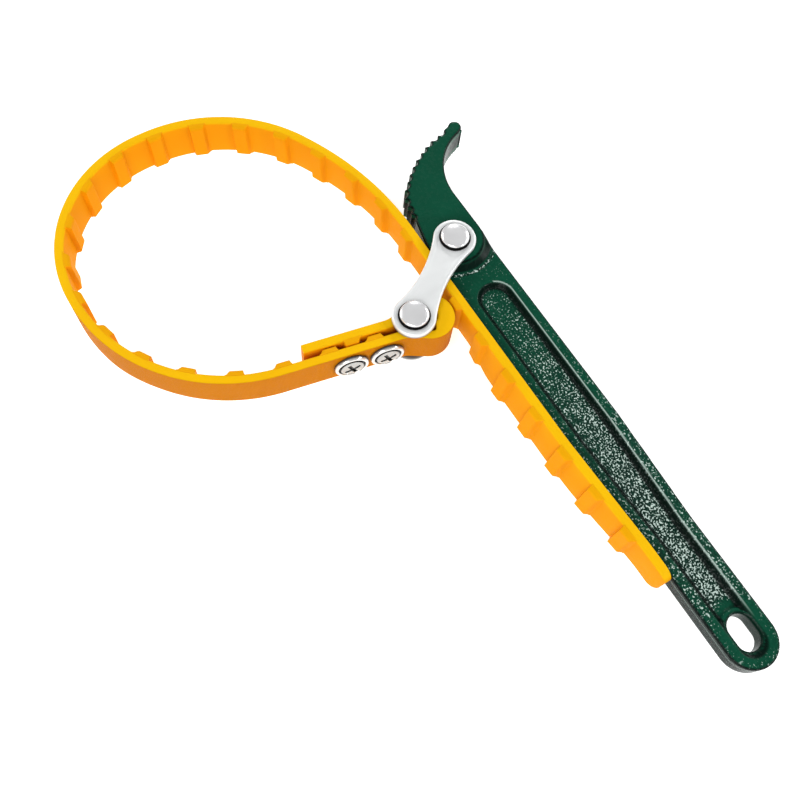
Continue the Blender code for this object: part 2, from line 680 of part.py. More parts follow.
def tail_corner_cutter(side):
    """What lies outside one rounded corner of the tail's end, seen across the strap."""
    radius = TAIL_CORNER_RADIUS
    middle = (TAIL_END - radius, side * (STRAP_TOP - radius))
    turn = (0.0, side * math.pi / 2)
    outline = arc(middle, radius, *turn, step=COARSE_STEP)
    outline.append((TAIL_END - radius, side * (STRAP_TOP + GAP)))
    outline.append((TAIL_END + GAP, side * (STRAP_TOP + GAP)))
    outline.append((TAIL_END + GAP, side * (STRAP_TOP - radius)))
    low = edge_y(TAIL_END) - CLAMP_THICKNESS
    cutter = slab(f"tail_corner_{side}", outline, 0.0, 2 * CLAMP_THICKNESS, None, "Cutters")
    cutter.rotation_euler.x = math.pi / 2
    cutter.location.y = low + 2 * CLAMP_THICKNESS
    return as_cutter(cutter)


def make_strap(look):
    """The strap's loop with its eye, and its free tail, which runs out between the links."""
    route = strap_route()
    teeth = tooth_places(route)
    join = route.nearest((TAIL_SPLIT, NECK_Y), end=route.length * 0.5)
    split = (max(s for s in teeth if s < join) + min(s for s in teeth if s > join)) / 2
    tail_edge = strap_outline(route, teeth, 0.0, split - GAP / 2)
    tail = slab("strap_tail", tail_edge, -STRAP_TOP, STRAP_TOP, look)
    for side in (-1, 1):
        cut(tail, tail_corner_cutter(side))
    loop_edge = strap_outline(route, teeth, split + GAP / 2, route.length)
    loop = slab("strap_loop", loop_edge, -STRAP_TOP, STRAP_TOP, look)
    for number, along in enumerate(FASTENER_PLACES, 1):
        hole = rod(f"strap_hole_{number}", NUT_BARREL_RADIUS + PIN_FIT, -2 * CLAMP_THICKNESS, CLAMP_THICKNESS)
        hole.matrix_world = fastener_frame(along)
        cut(loop, hole)
    return loop, tail


def empty(name, at, parent=None):
    made = bpy.data.objects.new(name, None)
    made.empty_display_size = 0.01
    bpy.data.collections["OilFilterWrench"].objects.link(made)
    made.location = (at[0], at[1], 0.0)
    bpy.context.view_layer.update()
    if parent:
        attach(made, parent)
    return made


def attach(child, parent):
    """Parents an object without moving it."""
    bpy.context.view_layer.update()
    world = child.matrix_world.copy()
    child.parent = parent
    child.matrix_parent_inverse = parent.matrix_world.inverted()
    child.matrix_world = world


def build():
    clear_scene()
    green = material("handle_green_enamel", (0.010, 0.085, 0.045), 0.35, 0.0)
    nickel = material("link_satin_nickel", (0.80, 0.81, 0.82), 0.30, 1.0)
    chrome = material("pin_chrome", (0.85, 0.85, 0.86), 0.12, 1.0)
    zinc = material("fastener_zinc", (0.78, 0.77, 0.72), 0.25, 1.0)
    steel = material("plain_steel", (0.45, 0.45, 0.46), 0.40, 1.0)
    yellow = material("strap_yellow_rubber", (1.0, 0.50, 0.01), 0.45, 0.0)

    handle = make_handle(green)
    on_links = [
        make_link("front_link", LINK_INNER, nickel),
        make_link("back_link", -LINK_OUTER, nickel),
        make_pin("pivot_pin", PIVOT_PIN_RADIUS, PIVOT, chrome),
        make_pin("strap_pin", STRAP_PIN_RADIUS, STRAP_PIN, chrome),
    ]
    top = -LINK_OUTER - GAP
    low = top - PIN_WASHER_THICKNESS
    pivot_bore = PIVOT_PIN_RADIUS + PIN_FIT
    strap_bore = STRAP_PIN_RADIUS + PIN_FIT
    on_links += [
        make_ring("pivot_pin_washer", pivot_bore, PIN_WASHER_RADIUS, low, top, PIVOT, zinc),
        make_ring("strap_pin_washer", strap_bore, PIN_WASHER_RADIUS, low, top, STRAP_PIN, zinc),
    ]
    inside = LINK_INNER - GAP
    outside = HEAD_TOP + GAP
    sleeve_radius = strap_bore + SLEEVE_WALL
    on_links += [
        make_ring("pivot_collar_front", pivot_bore, COLLAR_RADIUS, outside, inside, PIVOT, steel),
        make_ring("pivot_collar_back", pivot_bore, COLLAR_RADIUS, -inside, -outside, PIVOT, steel),
        make_ring("strap_sleeve", strap_bore, sleeve_radius, -inside, inside, STRAP_PIN, steel),
    ]
    loop, tail = make_strap(yellow)
    on_strap = [loop]
    for number, along in enumerate(FASTENER_PLACES, 1):
        on_strap += make_fastener(number, along, zinc, steel)

    frame = empty("wrench_frame", PIVOT)
    link_pivot = empty("link_pivot", PIVOT, frame)
    eye_pivot = empty("eye_pivot", STRAP_PIN, link_pivot)
    feed = empty("strap_feed", (TAIL_SPLIT, NECK_Y), eye_pivot)
    attach(handle, frame)
    for obj in on_links:
        attach(obj, link_pivot)
    for obj in on_strap:
        attach(obj, eye_pivot)
    attach(tail, feed)
    for cutter in bpy.data.collections["Cutters"].objects:
        attach(cutter, frame)
    bpy.context.view_layer.update()

    graph = bpy.context.evaluated_depsgraph_get()
    low = Vector((math.inf,) * 3)
    high = -low
    for obj in [handle, tail] + on_links + on_strap:
        shape = obj.evaluated_get(graph)
        for vertex in shape.data.vertices:
            point = shape.matrix_world @ vertex.co
            low = Vector(map(min, low, point))
            high = Vector(map(max, high, point))
    frame.location = (-(low.x + high.x) / 2, -(low.y + high.y) / 2, -low.z)
    bpy.context.view_layer.update()


build()
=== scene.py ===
import math

import bmesh
import bpy
import numpy as np
from mathutils import Matrix, Vector


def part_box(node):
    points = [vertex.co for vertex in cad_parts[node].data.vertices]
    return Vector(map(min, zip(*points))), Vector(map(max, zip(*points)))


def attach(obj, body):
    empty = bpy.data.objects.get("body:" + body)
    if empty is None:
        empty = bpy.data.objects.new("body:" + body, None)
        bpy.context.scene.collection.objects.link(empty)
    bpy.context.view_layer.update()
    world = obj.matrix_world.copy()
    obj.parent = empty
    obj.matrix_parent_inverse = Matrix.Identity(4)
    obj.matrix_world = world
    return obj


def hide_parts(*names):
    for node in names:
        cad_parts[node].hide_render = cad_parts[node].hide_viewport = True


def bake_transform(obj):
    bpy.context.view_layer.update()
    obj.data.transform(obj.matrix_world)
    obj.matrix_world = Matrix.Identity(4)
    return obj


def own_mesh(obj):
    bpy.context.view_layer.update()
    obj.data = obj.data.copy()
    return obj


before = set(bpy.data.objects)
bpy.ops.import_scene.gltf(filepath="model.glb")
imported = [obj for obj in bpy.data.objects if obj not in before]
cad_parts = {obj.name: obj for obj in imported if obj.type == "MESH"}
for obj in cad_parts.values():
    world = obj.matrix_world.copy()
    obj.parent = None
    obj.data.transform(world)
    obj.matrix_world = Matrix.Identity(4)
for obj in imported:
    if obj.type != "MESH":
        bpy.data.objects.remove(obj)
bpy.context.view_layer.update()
mm = 0.001


def boxCentre(node):
    low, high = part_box(node)
    return (low + high) / 2


# everything is laid out in millimetres from the pivot pin, halfway up its length, with +X down the handle
pivot = boxCentre("pivot_pin").copy()
pivot.z = boxCentre("handle").z
strapPinAt = (boxCentre("strap_pin") - pivot) / mm

# camera, floor and light

studio = {
    "cameraAt": (138.1, -131.6, 291.05),
    "cameraRight": (0.5317, 0.8447, 0.0621),
    "cameraUp": (-0.7905, 0.4686, 0.3943),
    "lens": 40.5,
    "floorSize": 6.0,
    "floorColour": (0.93, 0.93, 0.93),
    "skyStrength": 0.30,
    "floorGlow": 0.62,
}


def makeCamera():
    data = bpy.data.cameras.new("camera")
    data.lens = studio["lens"]
    data.sensor_width = 36
    data.clip_start = 0.01
    camera = bpy.data.objects.new("camera", data)
    bpy.context.scene.collection.objects.link(camera)
    right = Vector(studio["cameraRight"]).normalized()
    up = Vector(studio["cameraUp"])
    up = (up - up.dot(right) * right).normalized()
    turn = Matrix((right, up, right.cross(up))).transposed()
    camera.matrix_world = Matrix.Translation(pivot + mm * Vector(studio["cameraAt"])) @ turn.to_4x4()
    bpy.context.scene.camera = camera
    return camera


def softBox(name, at, target, size, watts, colour=(1, 1, 1)):
    data = bpy.data.lights.new(name, "AREA")
    data.shape = "RECTANGLE"
    data.size, data.size_y = size
    data.energy = watts
    data.color = colour
    lamp = bpy.data.objects.new(name, data)
    bpy.context.scene.collection.objects.link(lamp)
    lamp.location = at
    lamp.rotation_euler = (Vector(target) - Vector(at)).to_track_quat("-Z", "Y").to_euler()
    return lamp


def makeStudio():
    mesh = bpy.data.meshes.new("floor")
    half = studio["floorSize"] / 2
    corners = [(-half, -half, 0), (half, -half, 0), (half, half, 0), (-half, half, 0)]
    mesh.from_pydata(corners, [], [(0, 1, 2, 3)])
    floor = bpy.data.objects.new("floor", mesh)
    bpy.context.scene.collection.objects.link(floor)
    paper = bpy.data.materials.new("paleFloor")
    paper.use_nodes = True
    shader = paper.node_tree.nodes["Principled BSDF"]
    shader.inputs["Base Color"].default_value = (*studio["floorColour"], 1)
    shader.inputs["Roughness"].default_value = 0.9
    shader.inputs["Specular IOR Level"].default_value = 0.1
    shader.inputs["Emission Color"].default_value = (1, 1, 1, 1)
    shader.inputs["Emission Strength"].default_value = studio["floorGlow"]
    mesh.materials.append(paper)
    world = bpy.data.worlds.new("studioSky")
    world.use_nodes = True
    world.node_tree.nodes["Background"].inputs["Color"].default_value = (1, 1, 1, 1)
    world.node_tree.nodes["Background"].inputs["Strength"].default_value = studio["skyStrength"]
    bpy.context.scene.world = world
    softBox("keyBox", (0.55, -0.75, 0.75), (0, 0, 0), (0.7, 0.5), 8)
    softBox("sideBox", (-0.85, -0.45, 0.55), (0, 0, 0), (0.6, 0.4), 4)
    softBox("backBox", (0.1, 0.95, 0.55), (0, 0.02, 0), (0.9, 0.25), 4)
    softBox("sparkBox", (-0.75, 0.55, 0.45), (0, 0, 0), (0.07, 0.07), 2)
    softBox("glintBox", (0.75, 0.45, 0.45), (0, 0, 0), (0.07, 0.07), 2)
    bpy.context.scene.view_settings.view_transform = "Standard"


makeCamera()
makeStudio()
print("studio ready")

# helpers for plan outlines, in millimetres


def arc(centre, radius, start, end, step=3.0):
    # points along a circular arc, angles in degrees, both ends included
    count = max(2, math.ceil(abs(end - start) / step) + 1)
    angles = np.radians(np.linspace(start, end, count))
    return [(centre[0] + radius * math.cos(a), centre[1] + radius * math.sin(a)) for a in angles]


def crossing(point, heading, other, otherHeading):
    # where two straight lines meet, headings in degrees
    along = Vector((math.cos(math.radians(heading)), math.sin(math.radians(heading))))
    across = Vector((math.sin(math.radians(otherHeading)), -math.cos(math.radians(otherHeading))))
    return Vector(point) + (Vector(other) - Vector(point)).dot(across) / along.dot(across) * along


def roundedRoute(corners, step):
    # a line through corners, each rounded to its own radius: evenly dense points and left-hand normals
    points = [Vector(corners[0][0])]
    for before, (corner, radius), after in zip(corners, corners[1:], corners[2:]):
        corner = Vector(corner)
        arriving = (corner - Vector(before[0])).normalized()
        leaving = (Vector(after[0]) - corner).normalized()
        turn = math.atan2(arriving.cross(leaving), arriving.dot(leaving))
        side = Vector((-arriving.y, arriving.x)) * math.copysign(radius, turn)
        centre = corner - radius * math.tan(abs(turn) / 2) * arriving + side
        start = math.degrees(math.atan2(-side.y, -side.x))
        points += [Vector(p) for p in arc(centre, radius, start, start + math.degrees(turn), 1.5)]
    points.append(Vector(corners[-1][0]))
    raw = np.array([tuple(p) for p in points])
    reach = np.concatenate([[0], np.cumsum(np.linalg.norm(np.diff(raw, axis=0), axis=1))])
    keep = np.concatenate([[True], np.diff(reach) > 1e-6])
    raw, reach = raw[keep], reach[keep]
    even = np.linspace(0, reach[-1], math.ceil(reach[-1] / step) + 1)
    line = np.column_stack([np.interp(even, reach, raw[:, i]) for i in (0, 1)])
    tangent = np.gradient(line, even, axis=0)
    tangent /= np.linalg.norm(tangent, axis=1)[:, None]
    left = np.column_stack([-tangent[:, 1], tangent[:, 0]])
    return {"at": even, "line": line, "tangent": tangent, "left": left}


def nearestOn(route, point, start=0.0, end=1e9):
    inside = (route["at"] >= start) & (route["at"] <= end)
    gaps = np.linalg.norm(route["line"] - np.array(point[:2]), axis=1)
    return float(route["at"][np.argmin(np.where(inside, gaps, 1e9))])


def meshObject(name, points, faces, smooth=True, uv=None):
    # points in millimetres from the pivot pin become metres in the frame
    mesh = bpy.data.meshes.new(name)
    placed = np.asarray(points, float) * mm + np.array(pivot)
    mesh.from_pydata(placed.tolist(), [], [tuple(int(i) for i in face) for face in faces])
    if uv is not None:
        layer = mesh.uv_layers.new(name="strapUV")
        corners = np.zeros(len(mesh.loops), np.int32)
        mesh.loops.foreach_get("vertex_index", corners)
        layer.data.foreach_set("uv", np.asarray(uv, np.float32)[corners].ravel())
    if smooth:
        mesh.shade_smooth()
    mesh.validate()
    obj = bpy.data.objects.new(name, mesh)
    bpy.context.scene.collection.objects.link(obj)
    return obj


def outwards(obj):
    shape = bmesh.new()
    shape.from_mesh(obj.data)
    bmesh.ops.remove_doubles(shape, verts=shape.verts, dist=1e-6)
    bmesh.ops.recalc_face_normals(shape, faces=shape.faces)
    shape.to_mesh(obj.data)
    shape.free()
    return obj


def baked(obj):
    # applies the modifiers, leaving a plain mesh
    bpy.context.view_layer.update()
    graph = bpy.context.evaluated_depsgraph_get()
    mesh = bpy.data.meshes.new_from_object(obj.evaluated_get(graph))
    old = obj.data
    obj.modifiers.clear()
    obj.data = mesh
    if isinstance(old, bpy.types.Mesh) and old.users == 0:
        bpy.data.meshes.remove(old)
    return obj


# shader building


def nodeIn(tree, kind, place=(0, 0), **settings):
    node = tree.nodes.new(kind)
    node.location = place
    for key, value in settings.items():
        setattr(node, key, value)
    return node


def mathIn(tree, operation, first, second=None, clamp=False):
    node = nodeIn(tree, "ShaderNodeMath", operation=operation, use_clamp=clamp)
    for socket, value in zip(node.inputs, (first, second)):
        if value is None:
            continue
        if isinstance(value, (int, float)):
            socket.default_value = value
        else:
            tree.links.new(value, socket)
    return node.outputs[0]


def rangeIn(tree, value, low, high, toLow=0.0, toHigh=1.0):
    node = nodeIn(tree, "ShaderNodeMapRange")
    tree.links.new(value, node.inputs["Value"])
    for name, number in (("From Min", low), ("From Max", high), ("To Min", toLow), ("To Max", toHigh)):
        if isinstance(number, (int, float)):
            node.inputs[name].default_value = number
        else:
            tree.links.new(number, node.inputs[name])
    return node.outputs["Result"]


def mixIn(tree, share, first, second):
    node = nodeIn(tree, "ShaderNodeMix", data_type="RGBA")
    for socket, value in ((node.inputs[0], share), (node.inputs[6], first), (node.inputs[7], second)):
        if isinstance(value, (int, float)):
            socket.default_value = value
        elif isinstance(value, tuple):
            socket.default_value = (*value, 1)
        else:
            tree.links.new(value, socket)
    return node.outputs[2]


def tinted(tree, mask, amount, under, over):
    # lays one colour over another by a share of a mask
    return mixIn(tree, mathIn(tree, "MULTIPLY", mask, amount), under, over)


def newGroup(name, inputs, outputs):
    tree = bpy.data.node_groups.new(name, "ShaderNodeTree")
    for label, kind, value in inputs:
        socket = tree.interface.new_socket(name=label, in_out="INPUT", socket_type=kind)
        if value is not None:
            socket.default_value = value
    for label, kind in outputs:
        tree.interface.new_socket(name=label, in_out="OUTPUT", socket_type=kind)
    return tree, nodeIn(tree, "NodeGroupInput"), nodeIn(tree, "NodeGroupOutput")


def grainGroup():
    # fine uneven grain: a height for bump and a spread for roughness and colour
    tree, inside, out = newGroup(
        "surfaceGrain",
        [
            ("Vector", "NodeSocketVector", None),
            ("Scale", "NodeSocketFloat", 900.0),
            ("Coarse", "NodeSocketFloat", 60.0),
        ],
        [("Height", "NodeSocketFloat"), ("Patch", "NodeSocketFloat")],
    )
    fine = nodeIn(tree, "ShaderNodeTexNoise")
    fine.inputs["Detail"].default_value = 3
    coarse = nodeIn(tree, "ShaderNodeTexNoise")
    coarse.inputs["Detail"].default_value = 4
    for node, scale in ((fine, "Scale"), (coarse, "Coarse")):
        tree.links.new(inside.outputs["Vector"], node.inputs["Vector"])
        tree.links.new(inside.outputs[scale], node.inputs["Scale"])
    tree.links.new(fine.outputs["Fac"], out.inputs["Height"])
    tree.links.new(rangeIn(tree, coarse.outputs["Fac"], 0.3, 0.7), out.inputs["Patch"])
    return tree


def edgeGroup():
    # a mask on raised edges, broken up by noise, and a mask in hollows for painted shade
    tree, inside, out = newGroup(
        "edgeRubAndHollowShade",
        [
            ("Vector", "NodeSocketVector", None),
            ("Start", "NodeSocketFloat", 0.52),
            ("Full", "NodeSocketFloat", 0.60),
            ("Breakup", "NodeSocketFloat", 0.5),
        ],
        [("Mask", "NodeSocketFloat"), ("Hollow", "NodeSocketFloat")],
    )
    geometry = nodeIn(tree, "ShaderNodeNewGeometry")
    noise = nodeIn(tree, "ShaderNodeTexNoise")
    noise.inputs["Scale"].default_value = 350
    noise.inputs["Detail"].default_value = 3
    tree.links.new(inside.outputs["Vector"], noise.inputs["Vector"])
    raised = rangeIn(tree, geometry.outputs["Pointiness"], inside.outputs["Start"], inside.outputs["Full"])
    broken = rangeIn(tree, noise.outputs["Fac"], 0.35, 0.65)
    broken = mathIn(tree, "MULTIPLY", broken, inside.outputs["Breakup"])
    broken = mathIn(tree, "SUBTRACT", 1.0, broken)
    tree.links.new(mathIn(tree, "MULTIPLY", raised, broken, True), out.inputs["Mask"])
    hollow = rangeIn(tree, geometry.outputs["Pointiness"], 0.49, 0.44)
    tree.links.new(hollow, out.inputs["Hollow"])
    return tree


def pebbleGroup():
    # the speckle of a cast surface, in uneven drifts: a bump, with painted highlights on small crests and
    # painted shade in the hollows
    tree, inside, out = newGroup(
        "castPebbles",
        [
            ("Vector", "NodeSocketVector", None),
            ("Size", "NodeSocketFloat", 1500.0),
            ("Amount", "NodeSocketFloat", 1.0),
        ],
        [("Height", "NodeSocketFloat"), ("Crest", "NodeSocketFloat"), ("Hollow", "NodeSocketFloat")],
    )
    fine = nodeIn(tree, "ShaderNodeTexNoise")
    fine.inputs["Detail"].default_value = 2
    tree.links.new(inside.outputs["Vector"], fine.inputs["Vector"])
    tree.links.new(inside.outputs["Size"], fine.inputs["Scale"])
    drift = nodeIn(tree, "ShaderNodeTexNoise")
    drift.inputs["Scale"].default_value = 230
    tree.links.new(inside.outputs["Vector"], drift.inputs["Vector"])
    sway = rangeIn(tree, drift.outputs["Fac"], 0.3, 0.7, -0.03, 0.03)
    level = mathIn(tree, "ADD", fine.outputs["Fac"], sway)
    amount = inside.outputs["Amount"]
    tree.links.new(mathIn(tree, "MULTIPLY", level, amount), out.inputs["Height"])
    # where there is less of it the crests thin out before they fade
    start = rangeIn(tree, amount, 0.0, 1.0, 0.69, 0.54)
    crest = rangeIn(tree, mathIn(tree, "SUBTRACT", level, start), 0.0, 0.05)
    strength = mathIn(tree, "MULTIPLY", amount, 1.6, True)
    tree.links.new(mathIn(tree, "MULTIPLY", crest, strength), out.inputs["Crest"])
    hollow = rangeIn(tree, level, 0.51, 0.44)
    tree.links.new(mathIn(tree, "MULTIPLY", hollow, amount), out.inputs["Hollow"])
    return tree


def weaveGroup():
    # diagonal twill impressed in the strap's back, read from the strap's own UV, in millimetres
    tree, inside, out = newGroup(
        "twillBack",
        [
            ("Vector", "NodeSocketVector", None),
            ("Pitch", "NodeSocketFloat", 0.9),
            ("Width", "NodeSocketFloat", 15.0),
        ],
        [("Height", "NodeSocketFloat"), ("Back", "NodeSocketFloat")],
    )
    split = nodeIn(tree, "ShaderNodeSeparateXYZ")
    tree.links.new(inside.outputs["Vector"], split.inputs[0])
    turns = mathIn(tree, "DIVIDE", 2 * math.pi, inside.outputs["Pitch"])
    waves = []
    for lean in ("ADD", "SUBTRACT"):
        phase = mathIn(tree, lean, split.outputs["X"], split.outputs["Y"])
        waves.append(mathIn(tree, "SINE", mathIn(tree, "MULTIPLY", phase, turns)))
    product = mathIn(tree, "MULTIPLY", waves[0], waves[1])
    onBack = mathIn(tree, "LESS_THAN", split.outputs["Y"], inside.outputs["Width"])
    onBack = mathIn(tree, "MULTIPLY", onBack, mathIn(tree, "GREATER_THAN", split.outputs["Y"], 0.0))
    height = mathIn(tree, "MULTIPLY", rangeIn(tree, product, -1.0, 1.0), onBack)
    tree.links.new(height, out.inputs["Height"])
    tree.links.new(onBack, out.inputs["Back"])
    return tree


groups = {"grain": grainGroup(), "edge": edgeGroup(), "pebble": pebbleGroup(), "weave": weaveGroup()}


def startMaterial(name):
    made = bpy.data.materials.new(name)
    made.use_nodes = True
    tree = made.node_tree
    shader = tree.nodes["Principled BSDF"]
    coordinates = nodeIn(tree, "ShaderNodeTexCoord", (-1200, 0))
    return made, tree, shader, coordinates.outputs["Object"]


def useGroup(tree, key, vector, **values):
    node = nodeIn(tree, "ShaderNodeGroup", node_tree=groups[key])
    tree.links.new(vector, node.inputs["Vector"])
    for name, value in values.items():
        if isinstance(value, (int, float)):
            node.inputs[name].default_value = value
        else:
            tree.links.new(value, node.inputs[name])
    return node


def addBump(tree, shader, height, distance, strength, under=None):
    bump = nodeIn(tree, "ShaderNodeBump")
    bump.inputs["Distance"].default_value = distance
    bump.inputs["Strength"].default_value = strength
    tree.links.new(height, bump.inputs["Height"])
    if under is not None:
        tree.links.new(under.outputs["Normal"], bump.inputs["Normal"])
    tree.links.new(bump.outputs["Normal"], shader.inputs["Normal"])
    return bump


greenEnamel = {
    "colour": (0.004, 0.072, 0.038),
    "deep": (0.001, 0.014, 0.009),
    "black": (0.0006, 0.004, 0.003),
    "rubbed": (0.03, 0.16, 0.11),
    "sunk": (0.006, 0.036, 0.024),
    "crest": (0.62, 0.76, 0.70),
    "pebbleSize": 1500.0,
    "roughness": (0.16, 0.34),
}


def makeGreenEnamel():
    made, tree, shader, place = startMaterial("greenEnamel")
    attribute = nodeIn(tree, "ShaderNodeAttribute", attribute_name="sunk")
    pebbles = useGroup(tree, "pebble", place, Size=greenEnamel["pebbleSize"], Amount=attribute.outputs["Fac"])
    grain = useGroup(tree, "grain", place, Scale=700.0, Coarse=70.0)
    edge = useGroup(tree, "edge", place, Start=0.53, Full=0.62, Breakup=0.5)
    patchy = tuple(0.82 * c for c in greenEnamel["colour"])
    colour = mixIn(tree, grain.outputs["Patch"], greenEnamel["colour"], patchy)
    # painted shade in the creases, by pointiness
    colour = mixIn(tree, edge.outputs["Hollow"], colour, greenEnamel["deep"])
    colour = tinted(tree, edge.outputs["Mask"], 0.55, colour, greenEnamel["rubbed"])
    # darker green over the sunk panel
    sunkDarker = rangeIn(tree, attribute.outputs["Fac"], 0.45, 1.0)
    colour = tinted(tree, sunkDarker, 0.8, colour, greenEnamel["sunk"])
    # painted shade in the pebbles' hollows and painted highlights on their crests
    colour = tinted(tree, pebbles.outputs["Hollow"], 0.85, colour, greenEnamel["deep"])
    colour = tinted(tree, pebbles.outputs["Crest"], 0.9, colour, greenEnamel["crest"])
    lit = nodeIn(tree, "ShaderNodeAttribute", attribute_name="lit")
    colour = tinted(tree, lit.outputs["Fac"], 0.7, colour, greenEnamel["crest"])
    shaded = nodeIn(tree, "ShaderNodeAttribute", attribute_name="shade")
    colour = mixIn(tree, shaded.outputs["Fac"], colour, greenEnamel["black"])
    tree.links.new(colour, shader.inputs["Base Color"])
    rough = rangeIn(tree, grain.outputs["Height"], 0.3, 0.7, *greenEnamel["roughness"])
    tree.links.new(rough, shader.inputs["Roughness"])
    shader.inputs["Specular IOR Level"].default_value = 0.09
    first = addBump(tree, shader, grain.outputs["Height"], 0.0002, 0.2)
    addBump(tree, shader, pebbles.outputs["Height"], 0.0006, 0.9, first)
    return made


strapRubber = {
    "edge": (0.89, 0.505, 0.003),
    "side": (0.78, 0.29, 0.0006),
    "back": (0.62, 0.212, 0.0008),
    "dusty": (0.95, 0.58, 0.03),
    "shaded": (0.62, 0.12, 0.0003),
    "roughness": (0.45, 0.65),
    "toothUV": 60.0,
}


def makeStrapRubber():
    made, tree, shader, place = startMaterial("yellowStrapRubber")
    uv = nodeIn(tree, "ShaderNodeUVMap", uv_map="strapUV")
    weave = useGroup(tree, "weave", uv.outputs["UV"], Pitch=0.95, Width=15.0)
    grain = useGroup(tree, "grain", place, Scale=1500.0, Coarse=45.0)
    edge = useGroup(tree, "edge", place, Start=0.56, Full=0.70, Breakup=0.35)
    geometry = nodeIn(tree, "ShaderNodeNewGeometry")
    split = nodeIn(tree, "ShaderNodeSeparateXYZ")
    tree.links.new(geometry.outputs["Normal"], split.inputs[0])
    # faces turned up or down are mixed towards the yellow edge colour by their normal: a painted highlight
    level = rangeIn(tree, mathIn(tree, "ABSOLUTE", split.outputs["Z"]), 0.15, 0.75)
    across = nodeIn(tree, "ShaderNodeSeparateXYZ")
    tree.links.new(uv.outputs["UV"], across.inputs[0])
    # the painted highlight on faces turned up or down is weaker on the teeth's ends than on the strap's edge
    onTooth = mathIn(tree, "GREATER_THAN", across.outputs["Y"], strapRubber["toothUV"] - 2.0)
    kept = mathIn(tree, "SUBTRACT", 1.0, mathIn(tree, "MULTIPLY", onTooth, 0.55))
    level = mathIn(tree, "MULTIPLY", level, kept)
    colour = mixIn(tree, weave.outputs["Back"], strapRubber["side"], strapRubber["back"])
    dips = rangeIn(tree, weave.outputs["Height"], 0.75, 0.35)
    twill = mathIn(tree, "MULTIPLY", dips, weave.outputs["Back"])
    colour = tinted(tree, twill, 0.22, colour, strapRubber["shaded"])
    colour = mixIn(tree, level, colour, strapRubber["edge"])
    colour = tinted(tree, grain.outputs["Patch"], 0.10, colour, strapRubber["shaded"])
    colour = tinted(tree, edge.outputs["Mask"], 0.55, colour, strapRubber["dusty"])
    colour = tinted(tree, edge.outputs["Hollow"], 0.6, colour, strapRubber["shaded"])
    tree.links.new(colour, shader.inputs["Base Color"])
    rough = rangeIn(tree, grain.outputs["Height"], 0.3, 0.7, *strapRubber["roughness"])
    tree.links.new(rough, shader.inputs["Roughness"])
    shader.inputs["Specular IOR Level"].default_value = 0.04
    first = addBump(tree, shader, grain.outputs["Height"], 0.0001, 0.35)
    addBump(tree, shader, weave.outputs["Height"], 0.0003, 0.8, first)
    return made


def makeMetal(name, colour, rough, stretch=(1, 1, 1), paintedShade=0.25, bump=0.00005, metallic=1.0):
    # plated steel: drawn grain along one direction, painted shade in the hollows, brighter on rubbed edges
    made, tree, shader, place = startMaterial(name)
    mapping = nodeIn(tree, "ShaderNodeMapping")
    mapping.inputs["Scale"].default_value = stretch
    tree.links.new(place, mapping.inputs["Vector"])
    grain = useGroup(tree, "grain", mapping.outputs["Vector"], Scale=1100.0, Coarse=90.0)
    edge = useGroup(tree, "edge", place, Start=0.53, Full=0.65, Breakup=0.4)
    tone = mixIn(tree, grain.outputs["Patch"], colour, tuple(0.9 * c for c in colour))
    tone = tinted(tree, edge.outputs["Hollow"], paintedShade, tone, (0.10, 0.095, 0.09))
    tone = tinted(tree, edge.outputs["Mask"], 0.5, tone, (0.95, 0.95, 0.94))
    # painted shade from the point attribute, near black
    shadeLayer = nodeIn(tree, "ShaderNodeAttribute", attribute_name="paintedShade")
    tone = mixIn(tree, shadeLayer.outputs["Fac"], tone, (0.012, 0.012, 0.012))
    tree.links.new(tone, shader.inputs["Base Color"])
    shader.inputs["Metallic"].default_value = metallic
    roughness = rangeIn(tree, grain.outputs["Height"], 0.3, 0.7, *rough)
    tree.links.new(roughness, shader.inputs["Roughness"])
    addBump(tree, shader, grain.outputs["Height"], bump, 0.5)
    return made


looks = {
    "greenEnamel": makeGreenEnamel(),
    "strap": makeStrapRubber(),
    "nickel": makeMetal("satinNickel", (0.93, 0.95, 0.95), (0.34, 0.48), (1.0, 0.25, 1.0), metallic=0.35),
    "chrome": makeMetal("rivetChrome", (0.95, 0.95, 0.96), (0.18, 0.26), bump=0.000008, metallic=0.5),
    "zinc": makeMetal("brightZinc", (0.88, 0.87, 0.84), (0.16, 0.28), paintedShade=0.6, metallic=0.6),
    "screw": makeMetal("dullZinc", (0.50, 0.50, 0.48), (0.18, 0.34), paintedShade=0.9, metallic=0.8),
    "steel": makeMetal("plainSteel", (0.42, 0.42, 0.43), (0.30, 0.48), paintedShade=0.4),
}
print("materials ready")

# handle casting, as one smooth field of distances turned into a mesh

handleShape = {
    "length": 180.5,
    "centreY": 1.8,
    "beamHalf": 11.3,
    "gripHalf": 9.6,
    "taper": (86.0, 130.0),
    "beamTop": 4.0,
    "headTop": 6.2,
    "boss": ((-2.3, 1.9), 11.3),
    "hookCentre": (-19.0, 38.0),
    "hookEnd": 191,
    "tip": ((-45.9, 31.0), 2.7),
    "flank": ((0.0, 34.0), 46.6),
    "serrations": (189.5, 235.5, 10, 3),
    "serrationDepth": 1.5,
    "skirt": 14.8,
    "rim": 4.2,
    "recessStart": 19.7,
    "recessFloor": 1.8,
    "draft": 0.72,
    "recessEndWall": 3.6,
    "slot": (12.6, 8.6, 6.1),
    "pad": (2.0, 3.3),
    "edgeRound": 0.8,
    "boreRadius": 3.3,
    "cell": 0.5,
    "grid": ((-52.3, 183.0), (-12.2, 37.5), (-7.6, 7.7)),
}


def beamPlan():
    h = handleShape
    low = h["centreY"] - h["beamHalf"]
    lowEnd = h["centreY"] - h["gripHalf"]
    lower = [(0.0, low), (h["taper"][0], low), (h["taper"][1], lowEnd)]
    upper = [(x, 2 * h["centreY"] - y) for x, y in reversed(lower)]
    return lower + arc((h["length"] - h["gripHalf"], h["centreY"]), h["gripHalf"], -90, 90) + upper


